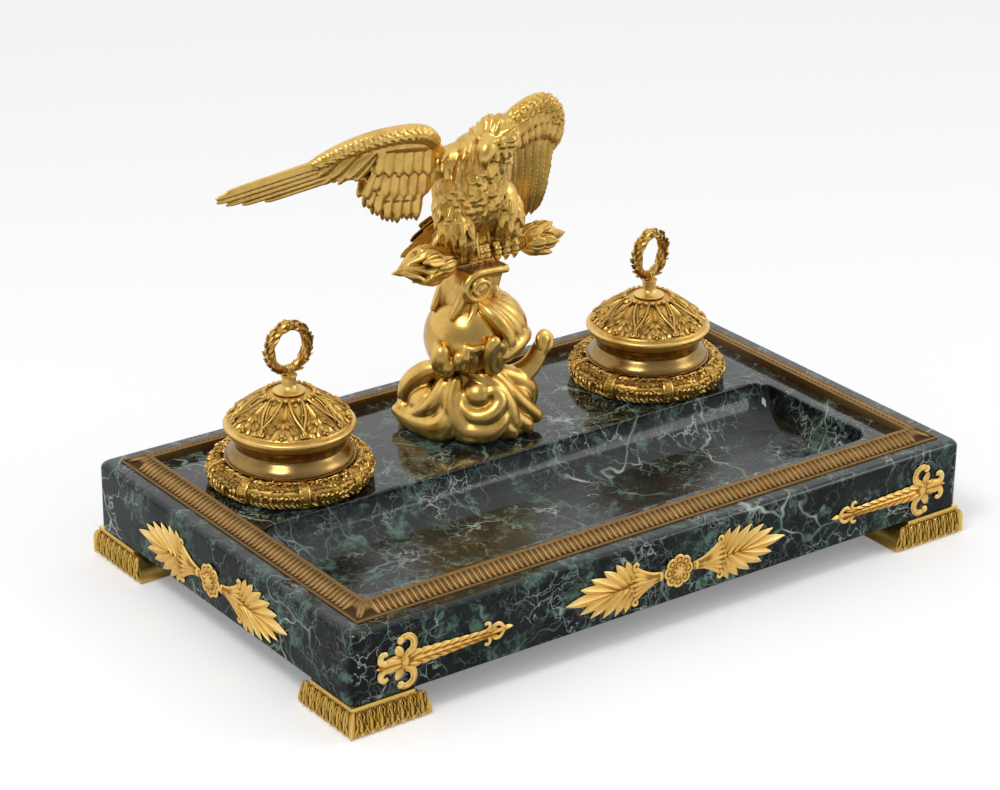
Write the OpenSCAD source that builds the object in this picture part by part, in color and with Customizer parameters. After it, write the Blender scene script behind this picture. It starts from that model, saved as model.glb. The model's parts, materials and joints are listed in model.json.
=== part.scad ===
// Desk inkstand: a veined marble slab on four leaf feet, with a bordered pen tray, two lidded
// inkwells and an eagle that stands on a thunderbolt over a globe and clouds.
// Origin: centre of the four feet's footprint, on the desk. +X runs along the slab, +Y to the back.

/* [Slab] */
// Length of the marble slab
slab_w = 410; // [400:2:440]
// Depth of the marble slab, front to back
slab_d = 252; // [248:2:270]
// Thickness of the marble slab
slab_h = 40; // [38:0.5:48]
// Radius of the slab's upright corners
slab_corner_r = 5; // [2:0.5:8]
// Radius of the slab's top edge
slab_edge_r = 3.5; // [2:0.5:4]
// Bevel along the slab's bottom edge
slab_bevel = 0.8; // [0.5:0.1:2]

/* [Pen tray] */
// Length of the pen tray at the slab's top
tray_w = 347; // [300:1:350]
// Depth of the pen tray, front to back, at the slab's top
tray_d = 95; // [80:1:96]
// How far the tray is sunk into the slab
tray_depth = 20; // [12:1:24]
// Distance of the tray's front edge from the slab's front
tray_front = 34; // [31:0.5:36]
// Run of the tray's sloped back wall
tray_back_run = 20; // [14:1:26]
// Run of the tray's front and end walls
tray_end_run = 10; // [6:1:14]
// Corner radius of the tray
tray_corner_r = 11; // [8:1:16]

/* [Border rail] */
// Distance of the rail's outer edge from the slab's edge
rail_inset = 9.5; // [9:0.5:11]
// Width of the rail
rail_w = 13; // [10:0.5:13]
// Height of the rail at its inner edge
rail_h = 5; // [4:0.5:8]
// Height of the thin lip at the rail's outer edge
rail_lip_h = 1.2; // [0.8:0.1:2]
// Width of the flat bead along the rail's inner top
rail_bead_w = 2; // [1.5:0.5:3]
// Number of pins under each long rail
rail_pin_count = 4; // [2:1:6]

/* [Feet] */
// Height of the feet
foot_h = 16.5; // [13:0.5:21]
// Side of a foot where it rests on the desk
foot_w = 50; // [44:1:56]
// How far a foot spreads past the slab's edge
foot_spread = 3; // [2:0.5:6]
// How far a foot's top ledge shows past the slab's edge
foot_ledge = 0.6; // [0.3:0.1:1.5]
// Thickness of a foot's top ledge
foot_ledge_h = 2.5; // [2:0.5:4]
// How far a foot's inner sides slope back
foot_inner_run = 9.5; // [6:0.5:12]
// Leaf tips along each side of a foot
foot_leaves = 7; // [4:1:10]

/* [Inkwells] */
// Distance of the inkwell centres from the slab's ends, before their sideways place
well_end = 81.5; // [80:0.5:84]
// Sideways place of the inkwells, tray and eagle on the slab
set_x = -6; // [-8:0.5:2]
// Distance of the inkwell centres from the slab's back edge
well_back = 78.5; // [75:0.5:79]
// Radius of the wreath ring at its widest
ring_r = 45.5; // [44:0.5:46]
// Radius of the wreath ring's round section
ring_tube = 6.6; // [5.5:0.1:7.5]
// Ribbon bands round each wreath ring
ring_bands = 8; // [6:1:12]
// Height of a ribbon band over the ring's surface
band_rise = 0.7; // [0.4:0.1:1.2]
// Height of the drum above the wreath ring
drum_rise = 13.8; // [12:0.2:16]
// Radius of the drum's waist
drum_waist_r = 30.2; // [29.6:0.2:32]
// Inside radius of the ink cup
cup_r = 23.2; // [21:0.2:24]
// Wall of the ink cup
cup_wall = 2.2; // [1.6:0.1:2.6]
// Thickness of the ink cup's floor
cup_floor = 3; // [2:0.5:4]
// Width of the flange that the ink cup hangs by
cup_flange = 2.6; // [2:0.1:3]
// Thickness of that flange
cup_flange_h = 1.8; // [1.2:0.1:2.4]

/* [Lids] */
// Radius of the lid's rim
lid_r = 36.1; // [35.2:0.1:40]
// Height of the lid from its seat to its crown
lid_h = 23.8; // [20:0.2:28]
// Radius of the lid's flat crown
crown_r = 12; // [10:0.5:14]
// Wall of the cast lid
lid_wall = 2.4; // [1.8:0.1:3]
// Height of the leaf relief on the lid
relief = 0.9; // [0.5:0.1:1.2]
// Number of acanthus leaves round the lid
lid_leaves = 8; // [6:1:10]
// Depth of the skirt that centres the lid in the ink cup
skirt_h = 4; // [3:0.5:6]
// Height of the turned stem
stem_h = 10.5; // [8:0.5:14]
// Radius of the stem's foot
stem_foot_r = 8.4; // [7:0.2:9.6]
// Radius of the stem's neck
stem_neck_r = 3.8; // [3.2:0.1:4.4]
// Outside radius of the laurel ring handle
laurel_r = 15.4; // [13:0.2:18]
// Radius of the laurel ring's bar
laurel_bar_r = 2.8; // [2.2:0.1:3.4]
// Leaves round a laurel ring
laurel_leaves = 16; // [12:2:26]
// Turn of the left laurel ring
left_turn = 5; // [-20:1:20]
// Turn of the right laurel ring
right_turn = 15; // [-20:1:20]
// Radius of the stud that holds stem and handle to the lid
stud_r = 2; // [1.6:0.1:2.4]

/* [Eagle group] */
// Distance of the group's axis from the slab's back edge
group_back = 72; // [67:1:75]
// Radius of the cloud base where it stands on the slab
cloud_r = 39; // [34:0.5:41]
// Radius of the globe
globe_r = 25.7; // [24:0.1:27]
// Height of the globe's centre over the slab
globe_z = 52; // [50:0.5:56]
// Height of the thunderbolt's axis over the slab
bolt_z = 100; // [99:0.5:104]
// Radius of the thunderbolt's twisted shaft
bolt_r = 4.6; // [4:0.1:5.4]
// Length of the twisted shaft
bolt_len = 44; // [40:1:50]
// Length of the left flame, from shaft to tip
left_flame_len = 45; // [38:1:50]
// Length of the right flame, from shaft to tip
right_flame_len = 32; // [28:1:40]
// Depth of the volute block, front to back
volute_d = 24; // [18:1:28]

/* [Side mounts] */
// Thickness of the gilt mounts on the slab's sides
mount_t = 2.4; // [1.6:0.1:3.5]
// Half length of a pair of palmettes
palmette_reach = 75; // [66:1:84]
// Radius of the rosette between the palmettes
rosette_r = 10.5; // [8:0.5:13]
// Length of a torch mount for each millimetre of the slab's thickness
torch_share = 2.1; // [1.9:0.05:2.2]
// Distance of a torch mount's fleur end from the slab's corner
torch_end = 13; // [11:0.5:18]
// Sideways place of the mounts on the slab's front
front_x = 1; // [-2:0.5:2]
// Place of the mounts on the slab's ends, towards the back
side_y = 6.5; // [-20:0.5:20]
// Height of the front mounts' middle, as a share of the slab's thickness
front_level = 0.435; // [0.43:0.005:0.48]
// Height of the end mounts' middle, as a share of the slab's thickness
side_level = 0.4; // [0.35:0.01:0.5]
// Length of the pins behind the side mounts
pin_len = 6; // [4:0.5:9]
// Radius of the mounts' pins
pin_r = 1; // [0.8:0.1:1.4]

/* [Fasteners and fits] */
// Radius of the threaded rod through the eagle group
rod_r = 3; // [2.5:0.1:3.5]
// Radius of the screws under the slab
screw_r = 2.2; // [1.8:0.1:2.8]
// Radius of the nuts and washers in the slab's underside
washer_r = 8; // [7:0.5:10]
// Depth of the counterbores in the slab's underside
counterbore = 7; // [6:0.5:9]
// Clearance round pins, screws and rods
hole_gap = 0.2; // [0.1:0.05:0.3]
// Seam between castings of the eagle group
seam = 0.15; // [0.1:0.05:0.3]
// Clearance between pieces that lift apart
lift_gap = 0.5; // [0.3:0.1:0.8]

/* [Hidden] */
$fn = 64;
blob_fn = 10;
seat_fn = 30;
eps = 0.01;
gilt = "goldenrod";
satin = "darkgoldenrod";
mount_gold = "gold";
top = foot_h + slab_h;
well_pitch = slab_w - 2 * well_end;
well_y = slab_d / 2 - well_back;
group_y = slab_d / 2 - group_back;
tray_y0 = -slab_d / 2 + tray_front;
long_rail = slab_w - 2 * rail_inset;
short_rail = slab_d - 2 * rail_inset;
rail_mid = rail_inset + rail_w * 0.6;
rail_pin_len = 4;
foot_screw_grip = 12;
foot_recess = 5;
torch_len = torch_share * slab_h;
torch_far = slab_w / 2 - torch_end;
front_mount_z = foot_h + slab_h * front_level;
side_mount_z = foot_h + slab_h * side_level;

// heights of the inkwell, from the slab's top
ring_top = 2 * ring_tube;
ring_mid = ring_r - ring_tube;
ring_bore = ring_mid - 5;
drum_top = ring_top + drum_rise;
drum_seat_r = ring_mid - 3;
cup_out = cup_r + cup_wall;
flange_r = cup_out + cup_flange;
cup_bottom = 3;
skirt_r = cup_r - lift_gap;
rim_z = 5.5;
crown_z = drum_top + lid_h;
laurel_mid = laurel_r - laurel_bar_r;
laurel_z = crown_z + stem_h + laurel_r - 0.7;
stud_bottom = crown_z - lid_wall - 4;

// castings of the eagle group, from its axis at the slab's top, drawn for a thunderbolt 100 up and
// sized with it; each point is [x, y, z, radius]
cast = bolt_z / 100;
function sized(points) = [for (p = points) p * cast];
bolt_x0 = -9 * cast;
bolt_x1 = bolt_x0 + bolt_len;
rod_cover = 3;
volute_left = -17 * cast;
volute_right = 21 * cast;
volute_roll = 9.5 * cast;
right_arm = sized([[-17, 4, 158, 9], [-24, 2, 170, 8], [-38, 1, 178, 7], [-60, 2, 180.5, 6],
    [-82, 4, 178.5, 5], [-102, 7, 171.5, 3.6]]);
left_arm = sized([[24, 6, 159, 8.5], [38, 12, 168, 7], [55, 18, 171, 6.5], [70, 23, 168, 5.8],
    [79, 28, 158, 4.8], [80, 31, 147, 3.6]]);
torso = sized([[4, 10, 118, 14], [2, 4, 130, 18], [1, 0, 143, 20], [3, -3, 153, 17]]);
neck = sized([[6, -9, 160, 14.5], [8, -16, 167, 12], [7, -19, 171, 11]]);
shoulders = sized([[-12, 4, 155, 12.5], [20, 4, 155, 12]]);
tail_root = [3, 18, 116, 9] * cast;

function mix(a, b, t) = a + (b - a) * t;
function unit(v) = v / norm(v);
function place(p) = [p[0], p[1], p[2]];
function along(path, t) = let (n = len(path) - 1, u = min(max(t, 0) * n, n - eps), i = floor(u))
    mix(path[i], path[i + 1], u - i);
function sides(n) = [for (i = [0:n - 1]) 360 * i / n];

// ---------------------------------------------------------------- shared shapes

// rectangle with round corners, centred, made of true arcs
module round_rect(w, d, r) {
    square([w - 2 * r, d], center = true);
    square([w, d - 2 * r], center = true);
    for (sx = [-1, 1], sy = [-1, 1])
        translate([sx * (w / 2 - r), sy * (d / 2 - r)]) circle(r);
}

// one upright section of the slab: round at the top, bevelled at the bottom
module edge_section(w) {
    round_z = slab_h - slab_edge_r;
    polygon([[-w / 2 + slab_bevel, 0], [w / 2 - slab_bevel, 0], [w / 2, slab_bevel], [w / 2, round_z],
        [-w / 2, round_z], [-w / 2, slab_bevel]]);
    translate([-w / 2 + slab_edge_r, slab_bevel]) square([w - 2 * slab_edge_r, slab_h - slab_bevel]);
    for (s = [-1, 1])
        translate([s * (w / 2 - slab_edge_r), round_z]) circle(slab_edge_r);
}

// pointed leaf from the origin along +X
module leaf2d(length, width) {
    r = (length * length / 4 + width * width / 4) / width;
    intersection() {
        translate([length / 2, r - width / 2]) circle(r);
        translate([length / 2, width / 2 - r]) circle(r);
    }
}

// round limb between two [x, y, z, radius] points, each swollen by grow
module limb(a, b, grow = 0, fn = blob_fn) {
    hull() {
        translate(place(a)) sphere(a[3] + grow, $fn = fn);
        translate(place(b)) sphere(b[3] + grow, $fn = fn);
    }
}

module limbs(path, grow = 0, fn = blob_fn) {
    for (i = [0:len(path) - 2]) limb(path[i], path[i + 1], grow, fn);
}

// one feather: a keeled blade from its root at, along dir, its back towards face
module feather(at, dir, face, length, width, thick) {
    d = unit(dir);
    s = unit(cross(face, d));
    n = unit(cross(d, s));
    // places along the blade: how far, half width, half thickness
    cuts = [[0, 0.3, 0.5], [0.62, 0.5, 0.5], [0.9, 0.36, 0.4]];
    pts = [for (k = cuts, e = [[-k[1], 0], [k[1], 0], [0, k[2]], [0, -k[2]]])
        at + d * length * k[0] + s * width * e[0] + n * thick * e[1]];
    tip = at + d * length;
    all_pts = concat(pts, [tip + n * thick * 0.3, tip - n * thick * 0.3]);
    hull() polyhedron(all_pts, [for (i = [0:len(all_pts) - 3]) [i, i + 1, i + 2]]);
}

// a row of feathers along an arm, between two fractions of it; lengths, widths and directions are blended
module feather_row(arm, span, count, dirs, lengths, widths, thick, face, lift) {
    for (i = [0:count - 1]) {
        t = count > 1 ? i / (count - 1) : 0;
        root = place(along(arm, mix(span[0], span[1], t))) + face * lift * cast;
        feather(root, mix(dirs[0], dirs[1], t), face,
            mix(lengths[0], lengths[1], t) * cast, mix(widths[0], widths[1], t) * cast, thick * cast);
    }
}

module at_group() {
    translate([set_x, group_y, top]) children();
}

module at_well(side) {
    translate([set_x + side * well_pitch / 2, well_y, top]) children();
}

// runs children at each of the four corners of the slab, turned so that +X and +Y point outwards
module at_corner(sx, sy) {
    translate([sx * slab_w / 2, sy * slab_d / 2, 0])
        mirror([sx < 0 ? 1 : 0, 0, 0]) mirror([0, sy < 0 ? 1 : 0, 0]) children();
}

// ---------------------------------------------------------------- slab and border

module tray_cut() {
    low_w = tray_w - 2 * tray_end_run;
    low_d = tray_d - tray_end_run - tray_back_run;
    hull() {
        translate([set_x, tray_y0 + tray_d / 2, slab_h])
            linear_extrude(1) round_rect(tray_w, tray_d, tray_corner_r, $fn = 32);
        translate([set_x, tray_y0 + tray_end_run + low_d / 2, slab_h - tray_depth])
            linear_extrude(1) round_rect(low_w, low_d, tray_corner_r, $fn = 32);
    }
}

function foot_screw_place() = foot_w / 2 - foot_spread;

// places of the mounts' pins along the slab's faces
function palmette_pins(mid) = [for (s = [-1, 1], u = [0.36, 0.7]) s * u * palmette_reach + mid];
function torch_pins() = [for (s = [-1, 1], u = [0.18, 0.5]) s * (torch_far - torch_len * u) + front_x];

// every pin behind the mounts, as cylinders grown by gap and drawn from the slab's face inwards
module mount_pin_set(gap = 0) {
    for (x = concat(palmette_pins(front_x), torch_pins(), [front_x]))
        translate([x, -slab_d / 2 - gap, front_mount_z]) rotate([-90, 0, 0])
            cylinder(h = pin_len + 2 * gap, r = pin_r + gap);
    for (s = [-1, 1], y = concat(palmette_pins(side_y), [side_y]))
        translate([s * (slab_w / 2 + gap), y, side_mount_z]) rotate([0, -90 * s, 0])
            cylinder(h = pin_len + 2 * gap, r = pin_r + gap);
}

function rail_pin_spots() = concat(
    [for (s = [-1, 1], i = [0:rail_pin_count - 1])
        [(slab_w / 2 - 2 * rail_mid) * (2 * i / (rail_pin_count - 1) - 1), s * (slab_d / 2 - rail_mid)]],
    [for (s = [-1, 1], y = [-0.25, 0.25]) [s * (slab_w / 2 - rail_mid), y * slab_d]]);

module rail_pin_set(gap = 0) {
    for (p = rail_pin_spots())
        translate([p[0], p[1], top - rail_pin_len]) cylinder(h = rail_pin_len, r = pin_r + gap);
}

module marble_slab() {
    color("darkslategray") difference() {
        translate([0, 0, foot_h]) difference() {
            intersection() {
                linear_extrude(slab_h) round_rect(slab_w, slab_d, slab_corner_r);
                rotate([90, 0, 90]) linear_extrude(slab_w + 2, center = true) edge_section(slab_d);
                rotate([90, 0, 0]) linear_extrude(slab_d + 2, center = true) edge_section(slab_w);
            }
            tray_cut();
            // bolts of the two inkwells and of the eagle group
            for (side = [-1, 1]) translate([set_x + side * well_pitch / 2, well_y, 0]) {
                translate([0, 0, -1]) cylinder(h = slab_h + 2, r = screw_r + hole_gap);
                translate([0, 0, -1]) cylinder(h = counterbore + 1, r = washer_r + lift_gap);
            }
            translate([set_x, group_y, -1]) cylinder(h = slab_h + 2, r = rod_r + hole_gap);
            translate([set_x, group_y, -1]) cylinder(h = counterbore + 1, r = washer_r + lift_gap);
            // blind holes over the feet
            for (sx = [-1, 1], sy = [-1, 1])
                translate([sx * (slab_w / 2 - foot_screw_place()), sy * (slab_d / 2 - foot_screw_place()), -1])
                    cylinder(h = foot_screw_grip + 1.5, r = screw_r + hole_gap);
        }
        mount_pin_set(hole_gap);
        rail_pin_set(hole_gap);
    }
}

// section of the rail: u from its outer edge inwards, v up
module rail_section() {
    slope_w = rail_w - rail_bead_w;
    slope = [for (i = [0:8]) let (t = i / 8)
        [mix(1, slope_w, t), mix(rail_lip_h, rail_h, (1 - cos(180 * t)) / 2)]];
    polygon(concat([[rail_w, 0], [0, 0], [0, rail_lip_h]], slope, [[rail_w, rail_h]]));
}

// one rail of the given outer length, with mitred ends, its outer edge along y = 0 and its body on +y
module rail(length) {
    intersection() {
        translate([-length / 2, 0, 0]) rotate([90, 0, 90]) linear_extrude(length) rail_section();
        linear_extrude(rail_h + 1) polygon([[-length / 2, 0], [length / 2, 0],
            [length / 2 - rail_w, rail_w], [-length / 2 + rail_w, rail_w]]);
    }
}

module rail_front() {
    color(satin) translate([0, -slab_d / 2 + rail_inset, top]) rail(long_rail);
}

module rail_back() {
    color(satin) translate([0, slab_d / 2 - rail_inset, top]) rotate(180) rail(long_rail);
}

module rail_left() {
    color(satin) translate([-slab_w / 2 + rail_inset, 0, top]) rotate(-90) rail(short_rail);
}

module rail_right() {
    color(satin) translate([slab_w / 2 - rail_inset, 0, top]) rotate(90) rail(short_rail);
}

module rail_pins() {
    color(satin) rail_pin_set();
}

// ---------------------------------------------------------------- feet

// section of a foot along one side; u = 0 is the slab's edge and u grows outwards
module foot_section() {
    steps = 6;
    shoulder = foot_h - foot_ledge_h;
    outer_run = foot_spread - foot_ledge;
    outer = [for (i = [0:steps]) let (a = 90 * i / steps)
        [foot_ledge + outer_run * sin(a), shoulder * (0.12 + 0.88 * cos(a))]];
    inner = [for (i = [0:steps]) let (a = 90 * i / steps)
        [foot_spread - foot_w + foot_inner_run * (1 - sin(90 - a)), shoulder * (0.12 + 0.88 * sin(a))]];
    polygon(concat([[foot_ledge, foot_h]], outer, [[foot_spread, 0], [foot_spread - foot_w, 0]], inner,
        [[foot_spread - foot_w + foot_inner_run, foot_h]]));
}

// outline of a foot from above: a square with a scallop for each leaf tip
module foot_plan() {
    step = foot_w / foot_leaves;
    tip_r = step * 0.56;
    inset = 1.1;
    translate([foot_spread - foot_w, foot_spread - foot_w]) {
        translate([inset, inset]) square(foot_w - 2 * inset);
        for (i = [0:foot_leaves - 1], far = [0, 1]) {
            translate([(i + 0.5) * step, far ? foot_w - tip_r : tip_r]) circle(tip_r);
            translate([far ? foot_w - tip_r : tip_r, (i + 0.5) * step]) circle(tip_r);
        }
    }
}

module foot(sx, sy) {
    hole = -foot_screw_place();
    color(gilt) at_corner(sx, sy) difference() {
        intersection() {
            linear_extrude(foot_h) foot_plan();
            rotate([90, 0, 0]) linear_extrude(4 * foot_w, center = true) foot_section();
            rotate([90, 0, 90]) linear_extrude(4 * foot_w, center = true) foot_section();
        }
        translate([hole, hole, -1]) cylinder(h = foot_h + 2, r = screw_r + hole_gap);
        translate([hole, hole, -1]) cylinder(h = foot_recess + 1, r = 2 * screw_r + 2 * hole_gap);
    }
}

module foot_front_left() { foot(-1, -1); }
module foot_front_right() { foot(1, -1); }
module foot_back_left() { foot(-1, 1); }
module foot_back_right() { foot(1, 1); }

module foot_screws() {
    color(satin) for (sx = [-1, 1], sy = [-1, 1]) at_corner(sx, sy)
        translate([-foot_screw_place(), -foot_screw_place(), 0]) {
            translate([0, 0, foot_recess]) cylinder(h = foot_h - foot_recess + foot_screw_grip, r = screw_r);
            translate([0, 0, foot_recess - screw_r]) cylinder(h = screw_r, r = 2 * screw_r);
        }
}

// ---------------------------------------------------------------- inkwells

module ring_section(rise = 0) {
    intersection() {
        translate([ring_mid, ring_tube]) circle(ring_tube + rise);
        translate([ring_bore, 0]) square([2 * ring_tube + 5, ring_top + rise]);
    }
    if (rise == 0) translate([ring_bore, 0]) square([ring_mid - ring_bore, ring_top]);
}

module wreath_ring(side) {
    band = 5;
    color(gilt) at_well(side) {
        rotate_extrude() ring_section();
        for (a = sides(ring_bands)) rotate(a + 180 / ring_bands - band / 2)
            rotate_extrude(angle = band) ring_section(band_rise);
    }
}

module left_wreath_ring() { wreath_ring(-1); }
module right_wreath_ring() { wreath_ring(1); }

// turned drum: spigot inside the ring, bright step, swelling, waist and flared lip
module drum_section() {
    spigot = ring_bore - hole_gap;
    swell = drum_seat_r - 1;
    step_h = 1.3;
    lip_r = flange_r + 4;
    waist_z = ring_top + drum_rise * 0.58;
    low = [for (i = [0:10]) let (t = i / 10)
        [mix(drum_waist_r, swell, pow(cos(90 * t), 1.3)), mix(ring_top + step_h, waist_z, t)]];
    high = [for (i = [1:6]) let (t = i / 6)
        [drum_waist_r + (lip_r - drum_waist_r) * (1 - cos(90 * t)), waist_z + (drum_top - waist_z) * t]];
    polygon(concat([[0, 0], [spigot, 0], [spigot, ring_top], [drum_seat_r, ring_top],
        [drum_seat_r, ring_top + step_h]],
        low, high, [[flange_r + lift_gap, drum_top], [flange_r + lift_gap, drum_top - cup_flange_h],
        [cup_out + lift_gap, drum_top - cup_flange_h], [cup_out + lift_gap, cup_bottom], [0, cup_bottom]]));
}

// threads of the bolt run in the drum's floor
module drum(side) {
    color("peru") at_well(side) difference() {
        rotate_extrude() drum_section();
        translate([0, 0, -1]) cylinder(h = cup_bottom + 2, r = screw_r + hole_gap);
    }
}

module left_drum() { drum(-1); }
module right_drum() { drum(1); }

// glass liner that hangs by its flange in the drum
module ink_cup(side) {
    low = cup_bottom + lift_gap;
    color("lightblue") at_well(side) rotate_extrude() polygon([[0, low], [cup_out - 2, low], [cup_out, low + 2],
        [cup_out, drum_top - cup_flange_h], [flange_r, drum_top - cup_flange_h], [flange_r, drum_top],
        [cup_r, drum_top], [cup_r, low + cup_floor + 3], [cup_r - 3, low + cup_floor], [0, low + cup_floor]]);
}

module left_ink_cup() { ink_cup(-1); }
module right_ink_cup() { ink_cup(1); }

module well_bolts() {
    color(satin) for (side = [-1, 1]) translate([set_x + side * well_pitch / 2, well_y, foot_h]) {
        translate([0, 0, counterbore - 1.6]) cylinder(h = 1.6, r = washer_r);
        translate([0, 0, counterbore - 4.6]) cylinder(h = 3 + eps, r = 2 * screw_r, $fn = 6);
        translate([0, 0, counterbore]) cylinder(h = slab_h - counterbore + cup_bottom, r = screw_r);
    }
}

// ---------------------------------------------------------------- lids

// outer line of the lid from the seat up to the crown, moved in by wall and up by lift
function lid_line(wall, lift = 0) = let (seat = flange_r + 3.5, dome_z = rim_z + 2.4, dome_r = lid_r - 2)
    concat(
        [[seat - wall, drum_top], [seat + (lid_r - seat) * 0.45 - wall, drum_top + rim_z * 0.22]],
        [for (a = [-60:30:90]) [lid_r - 1.6 + 1.6 * cos(a) - wall, drum_top + rim_z + 1.6 * sin(a)]],
        [for (i = [0:8]) let (t = i / 8)
            [mix(dome_r, crown_r, t) - wall, drum_top + mix(dome_z, lid_h, t) + 2.6 * sin(180 * t) + lift]]);

module lid_shell() {
    outer = lid_line(0);
    hollow_r = skirt_r - 1.4;
    difference() {
        rotate_extrude() {
            polygon(concat([[0, drum_top]], outer, [[0, crown_z]]));
            translate([hollow_r, drum_top - skirt_h]) square([skirt_r - hollow_r, skirt_h + 1]);
        }
        // hollow under the dome, roofed at the lid's wall
        rotate_extrude() polygon([[0, drum_top - skirt_h - 1], [hollow_r, drum_top - skirt_h - 1],
            [hollow_r, drum_top + lid_h * 0.56 - lid_wall],
            [crown_r, crown_z - lid_wall], [0, crown_z - lid_wall]]);
        cylinder(h = crown_z + 1, r = stud_r + hole_gap);
    }
}

// acanthus relief: the dome raised by the relief, kept only inside the leaf outlines
module lid_relief() {
    first = crown_r + 1;
    reach = lid_r - 3 - first;
    step = 360 / lid_leaves;
    intersection() {
        rotate_extrude() polygon(concat([[stem_foot_r + 1, crown_z - 1]],
            [for (p = lid_line(0, relief)) if (p[1] > drum_top + rim_z + 1.7) p],
            [[stem_foot_r + 1, crown_z + relief]]));
        linear_extrude(2 * crown_z) for (a = sides(lid_leaves)) rotate(a) {
            translate([first, 0]) leaf2d(reach, reach * 0.5);
            for (s = [-1, 1])
                translate([first - 1, 0]) rotate(s * step * 0.24) leaf2d(reach * 0.8, reach * 0.2);
            rotate(step / 2) translate([first - 1.5, 0]) leaf2d(reach * 1.05, reach * 0.16);
            rotate(step / 2) translate([first, 0]) circle(1.7);
        }
    }
}

module lid(side) {
    color(gilt) at_well(side) {
        lid_shell();
        lid_relief();
    }
}

module left_lid() { lid(-1); }
module right_lid() { lid(1); }

module lid_stem(side) {
    h = stem_h;
    curve = [for (i = [0:8]) let (t = i / 8)
        [mix(stem_foot_r - 0.6, stem_neck_r, sin(90 * t)), mix(1.6, h * 0.62, t)]];
    bore = stud_r + hole_gap;
    color(gilt) at_well(side) translate([0, 0, crown_z]) rotate_extrude() polygon(concat(
        [[bore, 0], [stem_foot_r - 0.4, 0], [stem_foot_r, 0.5], [stem_foot_r, 1.2],
        [stem_foot_r - 0.5, 1.6]], curve,
        [[stem_neck_r + 0.7, h * 0.7], [stem_neck_r + 0.9, h * 0.78], [stem_neck_r + 0.4, h * 0.88],
        [stem_neck_r - 0.6, h * 0.94], [stem_neck_r - 0.8, h], [bore, h]]));
}

module left_lid_stem() { lid_stem(-1); }
module right_lid_stem() { lid_stem(1); }

// ring of laurel with its stud; the ring stands on the stem, in the XZ plane before its turn
module laurel_ring(side) {
    turn = side < 0 ? left_turn : right_turn;
    half = laurel_leaves / 2;
    color(gilt) at_well(side) rotate(turn) {
        translate([0, 0, laurel_z]) rotate([90, 0, 0]) {
            rotate_extrude($fn = 22) translate([laurel_mid, 0]) circle(laurel_bar_r * 0.82, $fn = 6);
            for (i = [0:laurel_leaves - 1]) {
                s = i < half ? 1 : -1;
                a = -90 + s * (i % half + 0.4) * 180 / half;
                lean = i % 2 == 0 ? 0.42 : -0.42;
                out = [cos(a), sin(a), 0];
                ahead = s * [-sin(a), cos(a), 0];
                feather(out * laurel_mid + [0, 0, lean * laurel_bar_r], ahead + out * 0.28 + [0, 0, lean * 0.9],
                    [0, 0, 1] * sign(lean) + out * 0.8,
                    laurel_bar_r * 2.4, laurel_bar_r * 1.7, laurel_bar_r * 0.9);
            }
        }
        translate([0, 0, crown_z + stem_h]) cylinder(h = laurel_bar_r, r = stem_neck_r - 0.8, $fn = 16);
        translate([0, 0, stud_bottom]) cylinder(h = crown_z + stem_h - stud_bottom + 1, r = stud_r, $fn = 16);
    }
}

module left_laurel_ring() { laurel_ring(-1); }
module right_laurel_ring() { laurel_ring(1); }

module lid_nut(side) {
    color(satin) at_well(side) translate([0, 0, crown_z - lid_wall - 3]) difference() {
        cylinder(h = 3, r = 2 * stud_r, $fn = 6);
        translate([0, 0, -1]) cylinder(h = 5, r = stud_r + hole_gap / 2);
    }
}

module left_lid_nut() { lid_nut(-1); }
module right_lid_nut() { lid_nut(1); }

// ---------------------------------------------------------------- cloud, globe and volute

// clouds: a cone of rolling lobes that curl out at the foot and wrap the globe on one side
module clouds() {
    // direction and radius of each lobe
    lobes = [[200, 8.5], [236, 8], [268, 9], [300, 8], [335, 9], [12, 8], [52, 8.5], [95, 8.5], [140, 8.5]];
    cylinder(h = 30 * cast, r1 = cloud_r * 0.72, r2 = globe_r * 0.78, $fn = 24);
    for (l = lobes) {
        c = [cos(l[0]), sin(l[0]), 0];
        side = [-sin(l[0]), cos(l[0]), 0];
        foot = cloud_r - l[1] * cast * 0.8;
        bend = 4 * cast;
        a = c * (globe_r * 0.72) + [0, 0, 27 * cast];
        b = c * (globe_r * 0.98) + side * bend + [0, 0, 15 * cast];
        d = c * foot - side * bend + [0, 0, 4.5 * cast];
        r = l[1] * cast;
        limbs([[a[0], a[1], a[2], r * 0.72], [b[0], b[1], b[2], r * 0.8], [d[0], d[1], d[2], r * 0.86]], 0, 8);
    }
    // curls under the globe's front
    limbs(sized([[-20, -12, 24, 5], [-19, -16, 34, 6], [-12, -21, 31, 5.5]]), 0, 8);
    limbs(sized([[2, -23, 24, 5], [6, -24, 36, 5.5], [15, -20, 37, 5], [16, -18, 26, 5]]), 0, 8);
    // horn of cloud to the right, and the drape up the globe's right side
    limbs(sized([[18, -10, 28, 6.5], [28, -14, 30, 5.5], [37, -17, 36, 4.6], [40, -18, 43, 4]]), 0, 8);
    limbs(sized([[20, -8, 32, 6], [25, -6, 46, 6], [25, -4, 60, 5.5], [21.5, 0, 69, 4.5]]), 0, 8);
    limbs(sized([[23, 4, 32, 6], [26, 6, 48, 5.5], [22.5, 6, 64, 4.5]]), 0, 8);
}

module cloud_base() {
    color(gilt) at_group() difference() {
        clouds();
        // seat of the globe: its flats, not its corners, keep clear of the ball
        translate([0, 0, globe_z]) sphere((globe_r + seam) / pow(cos(180 / seat_fn), 2), $fn = seat_fn);
        // seat of the volute block
        rotate([90, 0, 0]) linear_extrude(volute_d + 2 * seam, center = true) offset(seam) volute_outline();
        // flat underside
        translate([-2 * cloud_r, -2 * cloud_r, -cloud_r]) cube([4 * cloud_r, 4 * cloud_r, cloud_r]);
        translate([0, 0, -1]) cylinder(h = globe_z, r = rod_r + hole_gap, $fn = 20);
    }
}

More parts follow.
